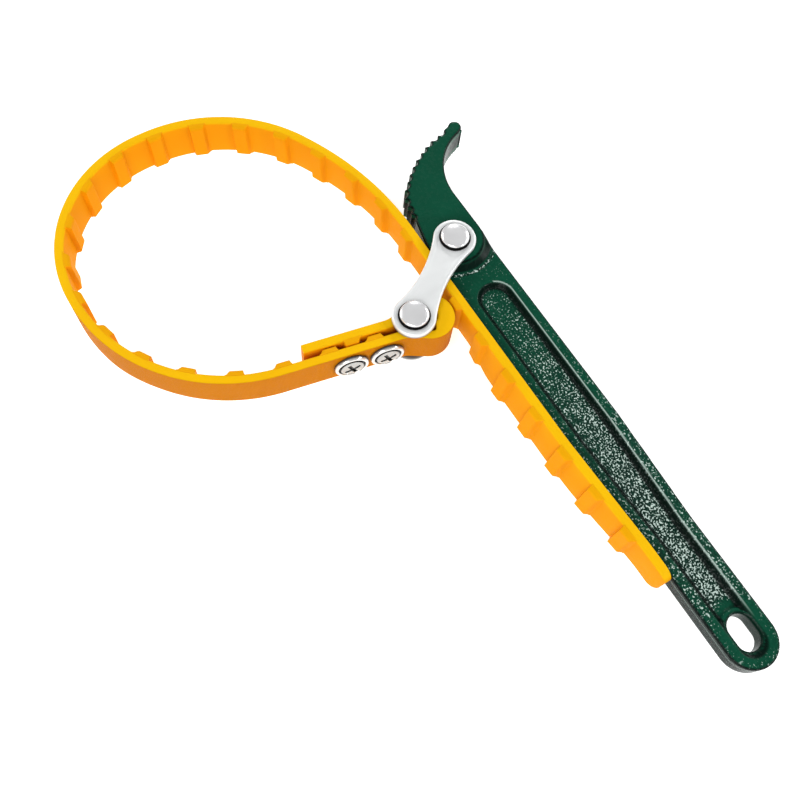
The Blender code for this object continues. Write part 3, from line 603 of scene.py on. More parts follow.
def headPlan():
    h = handleShape
    bossAt, bossRadius = h["boss"]
    tipAt, tipRadius = h["tip"]
    flankAt, flankRadius = h["flank"]
    points = arc(bossAt, bossRadius, -90, 90)
    points += arc(h["hookCentre"], h["hookCentre"][1] - bossAt[1] - bossRadius, 270, h["hookEnd"])
    points += arc(tipAt, tipRadius, 12, 235, 10)
    start, end, curved, straight = h["serrations"]
    pitch = math.radians((end - start) / curved)
    marks = [math.radians(start) + i * pitch for i in range(curved + 1)]
    flank = [Vector(flankAt) + flankRadius * Vector((math.cos(a), math.sin(a))) for a in marks]
    foot = Vector((bossAt[0], bossAt[1] - bossRadius))
    stride = (foot - flank[-1]).normalized() * pitch * flankRadius
    flank += [flank[-1] + (i + 1) * stride for i in range(straight)]
    for low, high in zip(flank, flank[1:]):
        # each tooth is a rounded bump, steeper on the side away from the tip
        step = high - low
        outward = Vector((step.y, -step.x)).normalized()
        for share in (i / 11 for i in range(10)):
            proud = h["serrationDepth"] * (math.sin(math.pi * share**0.8) ** 0.8 - 0.5)
            points.append(tuple(low + share * step - proud * outward))
    points.append(tuple(flank[-1]))
    return points


def recessPlan():
    h = handleShape
    half = h["beamHalf"] - h["rim"]
    small = h["gripHalf"] - h["rim"]
    points = arc((h["recessStart"] + half, h["centreY"]), half, 270, 90)
    points += [(h["taper"][0], h["centreY"] + half), (h["taper"][1], h["centreY"] + small)]
    points += arc((h["length"] - h["recessEndWall"] - small, h["centreY"]), small, 90, -90)
    points += [(h["taper"][1], h["centreY"] - small), (h["taper"][0], h["centreY"] - half)]
    return points


def slotPlan():
    h = handleShape
    length, width, wall = h["slot"]
    far = h["length"] - wall - width / 2
    near = far - length + width
    points = arc((far, h["centreY"]), width / 2, -90, 90)
    return points + arc((near, h["centreY"]), width / 2, 90, 270)


def planDistance(outline, xs, ys):
    # signed distance from every point of a grid to a closed outline, negative inside
    gridX, gridY = np.meshgrid(xs, ys, indexing="ij")
    best = np.full(gridX.shape, 1e9)
    inside = np.zeros(gridX.shape, bool)
    for (ax, ay), (bx, by) in zip(outline, outline[1:] + outline[:1]):
        dx, dy = bx - ax, by - ay
        size = dx * dx + dy * dy
        if size < 1e-12:
            continue
        share = np.clip(((gridX - ax) * dx + (gridY - ay) * dy) / size, 0, 1)
        gap = (gridX - ax - share * dx) ** 2 + (gridY - ay - share * dy) ** 2
        best = np.minimum(best, gap)
        spans = (ay > gridY) != (by > gridY)
        if dy:
            inside ^= spans & (gridX < ax + dx * (gridY - ay) / dy)
    return np.where(inside, -1, 1) * np.sqrt(best)


def softMin(a, b, reach):
    share = np.clip(0.5 + 0.5 * (b - a) / reach, 0, 1)
    return b * (1 - share) + a * share - reach * share * (1 - share)


def softMax(a, b, reach):
    return -softMin(-a, -b, reach)


def roundedSlab(plan, height, radius):
    across = plan + radius
    up = height + radius
    return np.minimum(np.maximum(across, up), 0) + np.hypot(np.maximum(across, 0), np.maximum(up, 0)) - radius


def sampled(grid, points, origin, cell):
    # reads a plan grid at the mesh's points
    at = (points[:, :2] - np.array(origin)) / cell
    low = np.clip(at.astype(int), 0, np.array(grid.shape) - 2)
    x, y = (at - low).T
    i, j = low.T
    near = grid[i, j] * (1 - x) + grid[i + 1, j] * x
    return near * (1 - y) + (grid[i, j + 1] * (1 - x) + grid[i + 1, j + 1] * x) * y


def band(values, middle, half, soft):
    # one inside a band of values, falling to nothing over its soft border
    return np.clip((half + soft - np.abs(values - middle)) / soft, 0, 1)


def surfaceOf(field, origin, cell):
    # one point per crossed cell, at the middle of its crossings, joined by a quad over each crossed edge
    inside = field < 0
    shape = tuple(n - 1 for n in field.shape)
    total = np.zeros(shape + (3,))
    count = np.zeros(shape)
    for axis in range(3):
        others = [a for a in range(3) if a != axis]
        for first in (0, 1):
            for second in (0, 1):
                start = [slice(0, n) for n in shape]
                for other, offset in zip(others, (first, second)):
                    start[other] = slice(offset, offset + shape[other])
                end = list(start)
                end[axis] = slice(1, shape[axis] + 1)
                a, b = field[tuple(start)], field[tuple(end)]
                crossed = (a < 0) != (b < 0)
                share = np.where(crossed, a / np.where(crossed, a - b, 1), 0)
                total[..., axis] += share
                for other, offset in zip(others, (first, second)):
                    total[..., other] += offset * crossed
                count += crossed
    used = count > 0
    number = np.full(shape, -1)
    number[used] = np.arange(used.sum())
    cells = np.argwhere(used)
    points = (cells + total[used] / count[used][:, None]) * cell + np.array(origin)
    faces = []
    for axis in range(3):
        others = [a for a in range(3) if a != axis]
        size = list(field.shape)
        core = [slice(1, n - 1) for n in size]
        core[axis] = slice(0, size[axis] - 1)
        after = list(core)
        after[axis] = slice(1, size[axis])
        change = inside[tuple(core)].astype(int) - inside[tuple(after)].astype(int)
        for sign in (1, -1):
            found = np.argwhere(change == sign)
            for other in others:
                found[:, other] += 1
            ring = []
            for first, second in ((0, 0), (1, 0), (1, 1), (0, 1)):
                corner = found.copy()
                corner[:, others[0]] -= 1 - first
                corner[:, others[1]] -= 1 - second
                ring.append(number[tuple(corner.T)])
            quads = np.column_stack(ring)
            flip = (sign < 0) != (axis == 1)
            faces.append(quads[:, ::-1] if flip else quads)
    return points, np.concatenate(faces)


def makeHandle():
    h = handleShape
    cell = h["cell"]
    xs, ys, zs = (np.arange(low, high, cell) for low, high in h["grid"])
    beam = planDistance(beamPlan(), xs, ys)[:, :, None]
    head = planDistance(headPlan(), xs, ys)[:, :, None]
    recess = planDistance(recessPlan(), xs, ys)[:, :, None]
    slot = planDistance(slotPlan(), xs, ys)[:, :, None]
    level = np.abs(zs)[None, None, :]
    body = roundedSlab(beam, level - h["beamTop"], h["edgeRound"])
    pocket = softMax(recess + (h["beamTop"] - level) * h["draft"], h["recessFloor"] - level, 0.7)
    body = softMax(body, -pocket, 0.45)
    padWidth, padTop = h["pad"]
    pad = roundedSlab(np.maximum(slot - padWidth, beam + 1.5), level - padTop, 0.5)
    body = softMin(body, pad, 1.0)
    # the boss slopes down to the beam like a skirt, with a narrow flat at its foot
    bossAt, bossRadius = h["boss"]
    fromBoss = np.hypot(xs[:, None] - bossAt[0], ys[None, :] - bossAt[1])[:, :, None]
    fall = (h["skirt"] - bossRadius) / (h["headTop"] - h["beamTop"])
    skirt = (fromBoss - bossRadius - fall * (h["headTop"] - level)) / math.hypot(1, fall)
    skirt = np.maximum(skirt, level - h["headTop"] + 0.05)
    skirt = softMax(skirt, np.maximum(beam + 0.1, bossAt[0] - xs[:, None, None]), 0.8)
    body = softMin(body, skirt, 0.5)
    body = softMin(body, roundedSlab(head, level - h["headTop"], h["edgeRound"]), 0.5)
    body = softMax(body, -slot, 0.8)
    bore = np.hypot(xs[:, None], ys[None, :])[:, :, None] - h["boreRadius"]
    body = softMax(body, -bore, 0.4)
    points, faces = surfaceOf(body, (xs[0], ys[0], zs[0]), cell)
    handle = meshObject("handleCasting", points, faces)
    handle.data.materials.append(looks["greenEnamel"])
    # how far each point lies in the sunk panel, which is the pebbled part, with a trace on the rim
    origin = (xs[0], ys[0])
    recessAt, slotAt = (sampled(plan[:, :, 0], points, origin, cell) for plan in (recess, slot))
    beamAt, headAt = (sampled(plan[:, :, 0], points, origin, cell) for plan in (beam, head))
    height = np.abs(points[:, 2])
    reach = np.hypot(points[:, 0] - bossAt[0], points[:, 1] - bossAt[1])
    fromSlot = np.clip((slotAt - 2.5) / 5.0, 0, 1)
    rim = 0.15 + np.clip((points[:, 0] - 40.0) / 60.0, 0, 1) * 0.45
    onBeam = np.clip((reach - h["skirt"] + 0.6) / 0.6, 0, 1) * (points[:, 0] > 0)
    foot = band(reach, h["skirt"] + 0.7, 0.4, 0.5) * (points[:, 0] > 2) * 0.9
    dense = 0.45 + 0.55 * np.clip((points[:, 0] - 35.0 + 2.0 * points[:, 1]) / 75.0, 0, 1)
    panel = np.clip(-recessAt / 1.6, 0, 1) * fromSlot * dense
    sunk = np.maximum(panel, rim * np.clip(fromSlot + 0.2, 0, 1)) * onBeam
    # painted shade as dark lines: the recess's walls, the boss's skirt, the rounded edges and round the slot
    edges = np.maximum(
        band(beamAt, -0.1, 0.35, 0.3) * (height > h["beamTop"] - 1.0) * (headAt > 0.3),
        band(headAt, -0.1, 0.35, 0.3) * (height > h["headTop"] - 1.0),
    )
    sides = 0.9 * (np.minimum(beamAt, headAt) > -0.35) * (height < h["beamTop"] - 0.8)
    skirt = band(reach, 13.1, 1.0, 0.6) * (points[:, 0] > 1) * (height > h["beamTop"] + 0.1) * (headAt > 0.2)
    wall = band(recessAt, -1.0, 0.7, 0.6) * (slotAt > 1.0)
    ring = 0.8 * band(slotAt, 0.2, 0.4, 0.5)
    shade = np.max([edges * 0.95, sides, skirt * 0.9, wall * 0.93, ring], axis=0)
    # and a painted highlight line along the far rim of the groove and the near foot of the handle's side
    farRim = (points[:, 1] > h["centreY"] + 3) * (height > h["beamTop"] - 0.6) * (slotAt > 1)
    lit = band(recessAt, 0.3, 0.08, 0.26) * farRim * np.clip((166 - points[:, 0]) / 12, 0, 1)
    nearFoot = (beamAt > -0.3) * (points[:, 0] > 120) * (points[:, 1] < 0)
    lit = np.maximum(lit, band(points[:, 2], 1.6, 0.15, 0.25) * nearFoot * 0.55)
    for label, values in (("sunk", np.maximum(sunk, foot)), ("shade", shade * (1 - lit)), ("lit", lit)):
        layer = handle.data.attributes.new(label, "FLOAT", "POINT")
        layer.data.foreach_set("value", values.astype(np.float32))
    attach(handle, "handle")
    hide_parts("handle")
    print("handle casting:", len(faces) * 2, "triangles")
    return handle


makeHandle()

# strap, along the same line as the solid one

strap = {
    "width": 15.0,
    "base": 3.4,
    "toothHeight": 1.9,
    "toothLength": 5.4,
    "toothTop": 5.0,
    "toothLean": (0.4, 1.4),
    "pitch": 16.8,
    "firstTooth": 19.6,
    "reach": 101.7,
    "depth": 132.0,
    "topPoint": (-64.5, -21.3),
    "topHeading": 27,
    "radii": {"neck": 114.0, "shoulder": 60.0, "bottomLeft": 53.0, "bottomRight": 64.0, "taper": 100.0},
    "fillets": (10.0, 8.0),
    "tailEnd": 142.2,
    "tailCorner": 4.5,
    "headingUp": 78,
    "eyeRadius": 9.0,
    "eyeCentre": (6.2, 0.5),
    "clampStart": -4.3,
    "flapStart": -8.6,
    "clampEnd": -41.3,
    "clampOuter": 6.1,
    "layerGap": 0.4,
    "split": 1.5,
    "sleeveRadius": 2.4,
    "edgeRound": (0.35, 0.9),
    "eyeFill": 3.2,
    "step": 0.7,
}
clampAlong = Vector((math.cos(math.radians(strap["headingUp"])), math.sin(math.radians(strap["headingUp"]))))
clampAcross = Vector((clampAlong.y, -clampAlong.x))
clampThickness = 2 * strap["base"] + strap["toothHeight"] + strap["layerGap"]


def eyePoint(along, across):
    return strapPinAt.xy + along * clampAlong + across * clampAcross


def touchSlope(point, left):
    # slope of the line from a point that touches the eye's circle, in the eye's own directions
    toward = Vector(strap["eyeCentre"]) - Vector(point)
    spread = math.asin(strap["eyeRadius"] / toward.length)
    return math.atan2(toward.y, toward.x) + (-spread if left else spread)


def strapLine():
    h = handleShape
    radii = strap["radii"]
    beamEdge = h["centreY"] - h["beamHalf"]
    gripEdge = h["centreY"] - h["gripHalf"]
    tailY = min(beamEdge - 0.3, h["boss"][0][1] - h["boss"][1] - 0.5)
    drop = tailY - beamEdge
    shoulder = crossing((0, tailY), 180, strap["topPoint"], strap["topHeading"])
    farTop = crossing(strap["topPoint"], strap["topHeading"], (-strap["reach"], 0), 90)
    outer = (strap["clampStart"], strap["clampOuter"])
    inner = (strap["flapStart"], strap["clampOuter"] - clampThickness)
    nearBottom = crossing((0, -strap["depth"]), 0, eyePoint(*outer), strap["headingUp"])
    crown = strap["eyeCentre"][0] + strap["eyeRadius"]
    outerRise = (crown - outer[0]) * math.tan(touchSlope(outer, False))
    innerRise = (crown - inner[0]) * math.tan(touchSlope(inner, True))
    return roundedRoute(
        [
            ((strap["tailEnd"], gripEdge + drop), 0),
            ((h["taper"][1], gripEdge + drop), radii["taper"]),
            ((h["taper"][0], tailY), radii["taper"]),
            (shoulder, radii["neck"]),
            (farTop, radii["shoulder"]),
            ((-strap["reach"], -strap["depth"]), radii["bottomLeft"]),
            (nearBottom, radii["bottomRight"]),
            (eyePoint(*outer), strap["fillets"][0]),
            (eyePoint(crown, outer[1] + outerRise), strap["eyeRadius"]),
            (eyePoint(crown, inner[1] + innerRise), strap["eyeRadius"]),
            (eyePoint(*inner), strap["fillets"][1]),
            (eyePoint(strap["clampEnd"], inner[1]), 0),
        ],
        0.25,
    )


strapRoute = strapLine()


def toothPlaces():
    # the pitch is kept along the inner face as far as the eye; the flap's teeth mesh between the strap's
    room = strap["sleeveRadius"] + strap["base"] + strap["toothHeight"] + strap["toothLength"] / 2
    total = strapRoute["at"][-1]
    outer = strap["clampOuter"]
    clamp = nearestOn(strapRoute, eyePoint(strap["clampStart"], outer), total * 0.8)
    flapStart = nearestOn(strapRoute, eyePoint(strap["flapStart"], outer - clampThickness), clamp)
    inner = strapRoute["line"] + strap["base"] * strapRoute["left"]
    face = np.concatenate([[0], np.cumsum(np.linalg.norm(np.diff(inner, axis=0), axis=1))])
    places = []
    for number in range(int(total / strap["pitch"])):
        middle = float(np.interp(strap["firstTooth"] + number * strap["pitch"], face, strapRoute["at"]))
        if middle < flapStart - strap["toothLength"] and (routeAt(middle)[0] - strapPinAt.xy).length > room:
            places.append(middle)
    last = max(s for s in places if s < clamp)
    along = (routeAt(last)[0] - strapPinAt.xy).dot(clampAlong) + strap["pitch"] / 2
    while along - strap["toothLength"] / 2 > strap["clampEnd"]:
        if along < strap["flapStart"]:
            places.append(nearestOn(strapRoute, eyePoint(along, outer - clampThickness), clamp))
        along -= strap["pitch"]
    return places


def routeAt(distance):
    line = [np.interp(distance, strapRoute["at"], strapRoute["line"][:, i]) for i in (0, 1)]
    tangent = [np.interp(distance, strapRoute["at"], strapRoute["tangent"][:, i]) for i in (0, 1)]
    return Vector(line), Vector(tangent).normalized()


def stripProfile(depth, sides=4):
    # round the strap's section: small corners on its smooth back, larger ones on its toothed face
    half = strap["width"] / 2
    small, large = strap["edgeRound"]
    ring = []
    corners = ((small, half - small, small, 180, 90), (depth - large, half - large, large, 90, 0))
    corners += ((depth - large, large - half, large, 0, -90), (small, small - half, small, -90, -180))
    for x, z, radius, start, end in corners:
        ring += arc((x, z), radius, start, end, 90 / sides)
    return ring


def makeStrip(name, start, end, roundEnd=False, fill=None):
    half = strap["width"] / 2
    stations = np.linspace(start, end, max(2, math.ceil((end - start) / strap["step"]) + 1)).tolist()
    corner = strap["tailCorner"]
    if roundEnd:
        lead = [start + corner * (1 - math.cos(math.pi / 2 * i / 13)) for i in range(14)]
        stations = lead + [s for s in stations if s > lead[-1] + 0.1]
    points, uv, faces = [], [], []
    for s in stations:
        middle, tangent = routeAt(s)
        left = Vector((-tangent.y, tangent.x))
        width, depth = 1.0, strap["base"]
        if roundEnd and s < start + corner:
            back = 1 - (s - start) / corner
            width = 1 - corner / half * (1 - math.sqrt(max(0.0, 1 - back * back)))
            depth = strap["base"] * (1 - 0.25 * back**3)
        if fill:
            # the fold of the eye is moulded thicker, between two distances
            swell = min(max((s - fill[0]) / 4, 0), 1) * min(max((fill[1] - s) / 4, 0), 1)
            depth += strap["eyeFill"] * swell * swell * (3 - 2 * swell)
        ring = stripProfile(depth)
        for inward, height in ring:
            spot = middle + inward * left
            points.append((spot.x, spot.y, height * width))
            uv.append((s, height + half if inward <= strap["edgeRound"][0] * 0.35 else 40.0 + height))
    n = len(ring)
    for row in range(len(stations) - 1):
        for i in range(n):
            j = (i + 1) % n
            faces.append((row * n + i, row * n + j, (row + 1) * n + j, (row + 1) * n + i))
    faces.append(tuple(range(n)))
    faces.append(tuple((len(stations) - 1) * n + i for i in reversed(range(n))))
    return outwards(meshObject(name, points, faces, uv=uv))


def easing(value):
    value = min(max(value, 0.0), 1.0)
    return value * value * (3 - 2 * value)


def makeToothBlock():
    # one moulded tooth along +X, its top towards +Y: one flank steep, the other drawn out, the ends rounded
    half = strap["toothTop"] / 2
    steep, gentle = strap["toothLean"]
    wide = strap["width"] / 2 - 0.05
    foot, brow = -half - gentle, -half + 0.4
    xs = [foot, *np.linspace(foot, brow, 7)[1:], *np.linspace(brow, half - 0.2, 7)[1:]]
    xs += list(np.linspace(half - 0.2, half + steep, 6)[1:])
    flat = wide - 1.6
    zs = [*np.linspace(-wide, -flat, 7), *np.linspace(-flat, flat, 6)[1:-1], *np.linspace(flat, wide, 7)]
    points, faces = [], []
    for x in xs:
        rise = easing((x + half + gentle) / (gentle + 0.4)) * easing((half + steep - x) / (steep + 0.2))
        for z in zs:
            over = 1 - max(0.0, (abs(z) - wide + 1.5) / 1.5)
            roof = 0.35 + 0.65 * math.sqrt(max(0.0, 1 - (1 - over) ** 2))
            points.append((x, 0.4 + strap["toothHeight"] * rise * roof, z))
    top = len(points)
    points += [(x, 0.0, z) for x in xs for z in zs]
    n = len(zs)
    for i in range(len(xs) - 1):
        for j in range(n - 1):
            quad = (i * n + j, i * n + j + 1, (i + 1) * n + j + 1, (i + 1) * n + j)
            faces += [quad, tuple(top + k for k in reversed(quad))]
    for i in range(len(xs) - 1):
        for j in (0, n - 1):
            faces.append((i * n + j, (i + 1) * n + j, top + (i + 1) * n + j, top + i * n + j))
    for i in (0, len(xs) - 1):
        for j in range(n - 1):
            faces.append((i * n + j, i * n + j + 1, top + i * n + j + 1, top + i * n + j))
    mesh = bpy.data.meshes.new("toothBlock")
    mesh.from_pydata([tuple(mm * c for c in p) for p in points], [], faces)
    for corner in mesh.uv_layers.new(name="strapUV").data:
        corner.uv = (0, strapRubber["toothUV"])
    block = outwards(bpy.data.objects.new("toothBlock", mesh))
    bpy.context.scene.collection.objects.link(block)
    mesh.shade_smooth()
    mesh.set_sharp_from_angle(angle=math.radians(60))
    return block


def toothTree():
    # instances one tooth at each of a run of distances along a curve
    tree = bpy.data.node_groups.new("strapTeeth", "GeometryNodeTree")
    for label, kind in (
        ("Geometry", "NodeSocketGeometry"),
        ("Tooth", "NodeSocketObject"),
        ("Count", "NodeSocketInt"),
        ("First", "NodeSocketFloat"),
        ("Pitch", "NodeSocketFloat"),
        ("Material", "NodeSocketMaterial"),
    ):
        tree.interface.new_socket(name=label, in_out="INPUT", socket_type=kind)
    tree.interface.new_socket(name="Geometry", in_out="OUTPUT", socket_type="NodeSocketGeometry")
    inside, out = nodeIn(tree, "NodeGroupInput"), nodeIn(tree, "NodeGroupOutput")
    points = nodeIn(tree, "GeometryNodePoints")
    tree.links.new(inside.outputs["Count"], points.inputs["Count"])
    index = nodeIn(tree, "GeometryNodeInputIndex")
    along = mathIn(tree, "MULTIPLY", index.outputs[0], inside.outputs["Pitch"])
    along = mathIn(tree, "ADD", along, inside.outputs["First"])
    sample = nodeIn(tree, "GeometryNodeSampleCurve", mode="LENGTH", use_all_curves=True)
    tree.links.new(inside.outputs["Geometry"], sample.inputs["Curves"])
    tree.links.new(along, sample.inputs["Length"])
    place = nodeIn(tree, "GeometryNodeSetPosition")
    tree.links.new(points.outputs[0], place.inputs["Geometry"])
    tree.links.new(sample.outputs["Position"], place.inputs["Position"])
    split = nodeIn(tree, "ShaderNodeSeparateXYZ")
    tree.links.new(sample.outputs["Tangent"], split.inputs[0])
    turn = nodeIn(tree, "ShaderNodeCombineXYZ")
    tree.links.new(mathIn(tree, "ARCTAN2", split.outputs["Y"], split.outputs["X"]), turn.inputs["Z"])
    tooth = nodeIn(tree, "GeometryNodeObjectInfo")
    tree.links.new(inside.outputs["Tooth"], tooth.inputs["Object"])
    copies = nodeIn(tree, "GeometryNodeInstanceOnPoints")
    tree.links.new(place.outputs[0], copies.inputs["Points"])
    tree.links.new(tooth.outputs["Geometry"], copies.inputs["Instance"])
    tree.links.new(turn.outputs[0], copies.inputs["Rotation"])
    real = nodeIn(tree, "GeometryNodeRealizeInstances")
    tree.links.new(copies.outputs[0], real.inputs[0])
    paint = nodeIn(tree, "GeometryNodeSetMaterial")
    tree.links.new(real.outputs[0], paint.inputs["Geometry"])
    tree.links.new(inside.outputs["Material"], paint.inputs["Material"])
    tree.links.new(paint.outputs[0], out.inputs[0])
    return tree


def setInput(modifier, tree, name, value):
    for item in tree.interface.items_tree:
        if item.item_type == "SOCKET" and item.in_out == "INPUT" and item.name == name:
            modifier[item.identifier] = value


def makeTeeth(name, tree, block, places):
    # a guide curve on the strap's inner face carries evenly spaced teeth
    start, end = places[0] - 5, places[-1] + 5
    stations = np.arange(start, end, 0.5)
    curve = bpy.data.curves.new(name, "CURVE")
    curve.dimensions = "3D"
    spline = curve.splines.new("POLY")
    spline.points.add(len(stations) - 1)
    reach, last, marks = 0.0, None, []
    for point, s in zip(spline.points, stations):
        middle, tangent = routeAt(s)
        spot = middle + (strap["base"] - 0.4) * Vector((-tangent.y, tangent.x))
        if last is not None:
            reach += (spot - last).length
        last = spot
        marks.append(reach)
        point.co = (*(pivot + mm * Vector((spot.x, spot.y, 0.0))), 1)
    guide = bpy.data.objects.new(name, curve)
    bpy.context.scene.collection.objects.link(guide)
    modifier = guide.modifiers.new("teeth", "NODES")
    modifier.node_group = tree
    inner = [float(np.interp(s, stations, marks)) for s in places]
    setInput(modifier, tree, "Tooth", block)
    setInput(modifier, tree, "Count", len(places))
    setInput(modifier, tree, "First", mm * inner[0])
    setInput(modifier, tree, "Pitch", mm * (inner[-1] - inner[0]) / max(1, len(places) - 1))
    setInput(modifier, tree, "Material", looks["strap"])
    bpy.context.view_layer.update()
    graph = bpy.context.evaluated_depsgraph_get()
    mesh = bpy.data.meshes.new_from_object(guide.evaluated_get(graph))
    bpy.data.objects.remove(guide, do_unlink=True)
    made = bpy.data.objects.new(name, mesh)
    bpy.context.scene.collection.objects.link(made)
    return made


def joined(main, extras):
    # adds the extras' meshes to the main one's, keeping its UV
    shape = bmesh.new()
    shape.from_mesh(main.data)
    for extra in extras:
        shape.from_mesh(extra.data)
        bpy.data.objects.remove(extra, do_unlink=True)
    shape.to_mesh(main.data)
    shape.free()
    main.data.shade_smooth()
    main.data.set_sharp_from_angle(angle=math.radians(50))
    return main


def leanOut(piece, shift, fade):
    # the strap doesn't sit quite square: its lower edge stands aside of its upper one
    wide = strap["width"]
    for vertex in piece.data.vertices:
        spot = (vertex.co - pivot) / mm
        vertex.co += mm * (0.5 - spot.z / wide) * fade(spot.x) * Vector(shift)


def makeStrap():
    places = toothPlaces()
    total = strapRoute["at"][-1]
    join = nearestOn(strapRoute, (strap["split"], routeAt(50.0)[0].y), 0, total * 0.5)
    split = (max(s for s in places if s < join) + min(s for s in places if s > join)) / 2
    splitX = routeAt(split)[0].x
    lower = (strapRoute["at"] > total * 0.6) & (strapRoute["at"] < total * 0.85)
    onLower = np.argmin(np.where(lower, abs(strapRoute["line"][:, 0] - splitX), 1e9))
    turnIn = float(strapRoute["at"][onLower])
    tree, block = toothTree(), makeToothBlock()
    pieces = {}
    crown = nearestOn(strapRoute, eyePoint(strap["eyeCentre"][0] + strap["eyeRadius"], 0.0), total * 0.8)
    spans = (("strapTail", 0.0, split), ("strapLoop", split, turnIn), ("strapEye", turnIn, total))
    for name, start, end in spans:
        fill = (crown - 15.0, crown + 14.0) if name == "strapEye" else None
        strip = makeStrip(name, start, end, roundEnd=name == "strapTail", fill=fill)
        strip.data.materials.clear()
        strip.data.materials.append(looks["strap"])
        own = [s for s in places if start < s < end]
        runs = []
        for s in own:
            # a run of teeth at the strap's pitch is one guide; the eye's odd ones are runs of their own
            if runs and abs(s - runs[-1][-1] - strap["pitch"]) < 1.6:
                runs[-1].append(s)
            else:
                runs.append([s])
        teeth = [makeTeeth(f"{name}Teeth{i}", tree, block, run) for i, run in enumerate(runs)]
        pieces[name] = joined(strip, teeth)
        print(name, "with", len(own), "teeth,", len(strip.data.polygons), "faces")
    bpy.data.objects.remove(block, do_unlink=True)
    leanOut(pieces["strapLoop"], (1.5, 0, 0), lambda x: easing((-x - 6) / 24))
    leanOut(pieces["strapTail"], (0, -2.2, 0), lambda x: easing((x - 32) / 18) * easing((136 - x) / 40))
    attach(pieces["strapEye"], "strap")
    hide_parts("strap_loop")
    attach(pieces["strapLoop"], "strap")
    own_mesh(pieces["strapLoop"])
    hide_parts("strap_loop")
    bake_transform(pieces["strapTail"])
    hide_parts("strap_tail")
    return pieces


makeStrap()

# links, pins and fasteners


def turnedPiece(name, profile, centre, axis, look, steps=64, closed=False):
    # a turned shape: (radius, height along the axis) from top to bottom, in millimetres
    up = Vector(axis).normalized()
    side = up.orthogonal().normalized()
    other = up.cross(side)
    points, faces = [], []
    for i in range(steps):
        angle = 2 * math.pi * i / steps
        out = math.cos(angle) * side + math.sin(angle) * other
        points += [tuple(Vector(centre) + r * out + h * up) for r, h in profile]
    n = len(profile)
    for i in range(steps):
        j = (i + 1) % steps
        for k in range(n if closed else n - 1):
            m = (k + 1) % n
            faces.append((i * n + k, i * n + m, j * n + m, j * n + k))
    piece = outwards(meshObject(name, points, faces))
    piece.data.set_sharp_from_angle(angle=math.radians(38))
    piece.data.materials.append(look)
    return piece


def softCorner(profile, radius, steps=3):
    # rounds each inner corner of an open profile
    result = [profile[0]]
    for before, corner, after in zip(profile, profile[1:], profile[2:]):
        a = (Vector(before) - Vector(corner))
        b = (Vector(after) - Vector(corner))
        cut = min(radius, a.length * 0.45, b.length * 0.45)
        first = Vector(corner) + a.normalized() * cut
        second = Vector(corner) + b.normalized() * cut
        for i in range(steps + 1):
            t = i / steps
            result.append(tuple((1 - t) ** 2 * first + 2 * t * (1 - t) * Vector(corner) + t * t * second))
    result.append(profile[-1])
    return result


def paintShade(piece, amount):
    # a share of painted shade at each point, from its place in millimetres from the pivot pin
    layer = piece.data.attributes.new("paintedShade", "FLOAT", "POINT")
    for item, vertex in zip(layer.data, piece.data.vertices):
        item.value = amount((vertex.co - pivot) / mm)


link = {"thickness": 2.5, "inner": 8.0, "endRadius": 8.0, "waist": 10.2, "round": 0.75}
linkHeading = math.atan2(strapPinAt.y, strapPinAt.x)
linkCentres = strapPinAt.xy.length


def linkPlan():
    end, waist = link["endRadius"], link["waist"]
    half = linkCentres / 2
    fillet = (half**2 + (waist / 2) ** 2 - end**2) / (2 * end - waist)
    rise = fillet + waist / 2
    touch = math.degrees(math.atan2(rise, half))
    points = arc((linkCentres, 0), end, touch - 180, 180 - touch)
    points += arc((half, rise), fillet, -touch, touch - 180, 1.5)[1:-1]
    points += arc((0, 0), end, touch, 360 - touch)
    points += arc((half, -rise), fillet, 180 - touch, touch, 1.5)[1:-1]
    turn = Matrix.Rotation(linkHeading, 2)
    return np.array([tuple(turn @ Vector(p)) for p in points])


def makeLink(name, side):
    plan = linkPlan()
    tangent = np.roll(plan, -1, 0) - np.roll(plan, 1, 0)
    tangent /= np.linalg.norm(tangent, axis=1)[:, None]
    inward = np.column_stack([-tangent[:, 1], tangent[:, 0]])
    low, high = link["inner"], link["inner"] + link["thickness"]
    soft = link["round"]
    rings = [(0.35, low), (0.1, low + 0.1), (0.0, low + 0.35)]
    for angle in np.radians(np.linspace(0, 90, 6)):
        rings.append((soft * (1 - math.cos(angle)), high - soft + soft * math.sin(angle)))
    # a shallow raised border, then the flat
    rings += [(soft + 0.35, high + 0.05), (soft + 0.9, high + 0.05)]
    rings += [(soft + 1.2, high - 0.10), (soft + 1.6, high - 0.12)]
    points, faces = [], []
    n = len(plan)
    for inset, height in rings:
        spots = plan + inset * inward
        points += [(x, y, side * height) for x, y in spots]
    for row in range(len(rings) - 1):
        for i in range(n):
            j = (i + 1) % n
            faces.append((row * n + i, row * n + j, (row + 1) * n + j, (row + 1) * n + i))
    faces.append(tuple(range(n)))
    faces.append(tuple((len(rings) - 1) * n + i for i in range(n)))
    piece = outwards(meshObject(name + "Plate", points, faces))
    piece.data.set_sharp_from_angle(angle=math.radians(50))
    # painted shade on the plate's face towards the handle and the lower part of its edge
    paintShade(piece, lambda p: 0.85 if side * p.z < low + 0.9 else 0.0)
    piece.data.materials.append(looks["nickel"])
    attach(piece, "links")
    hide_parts(name)
    return piece


makeLink("front_link", 1)
makeLink("back_link", -1)

pin = {
    "headRadius": 5.4,
    "headBase": 10.8,
    "domeTop": 13.0,
    "rim": 0.95,
    "tailRadius": 4.4,
    "tailTop": -11.9,
    "tailEnd": -13.0,
}


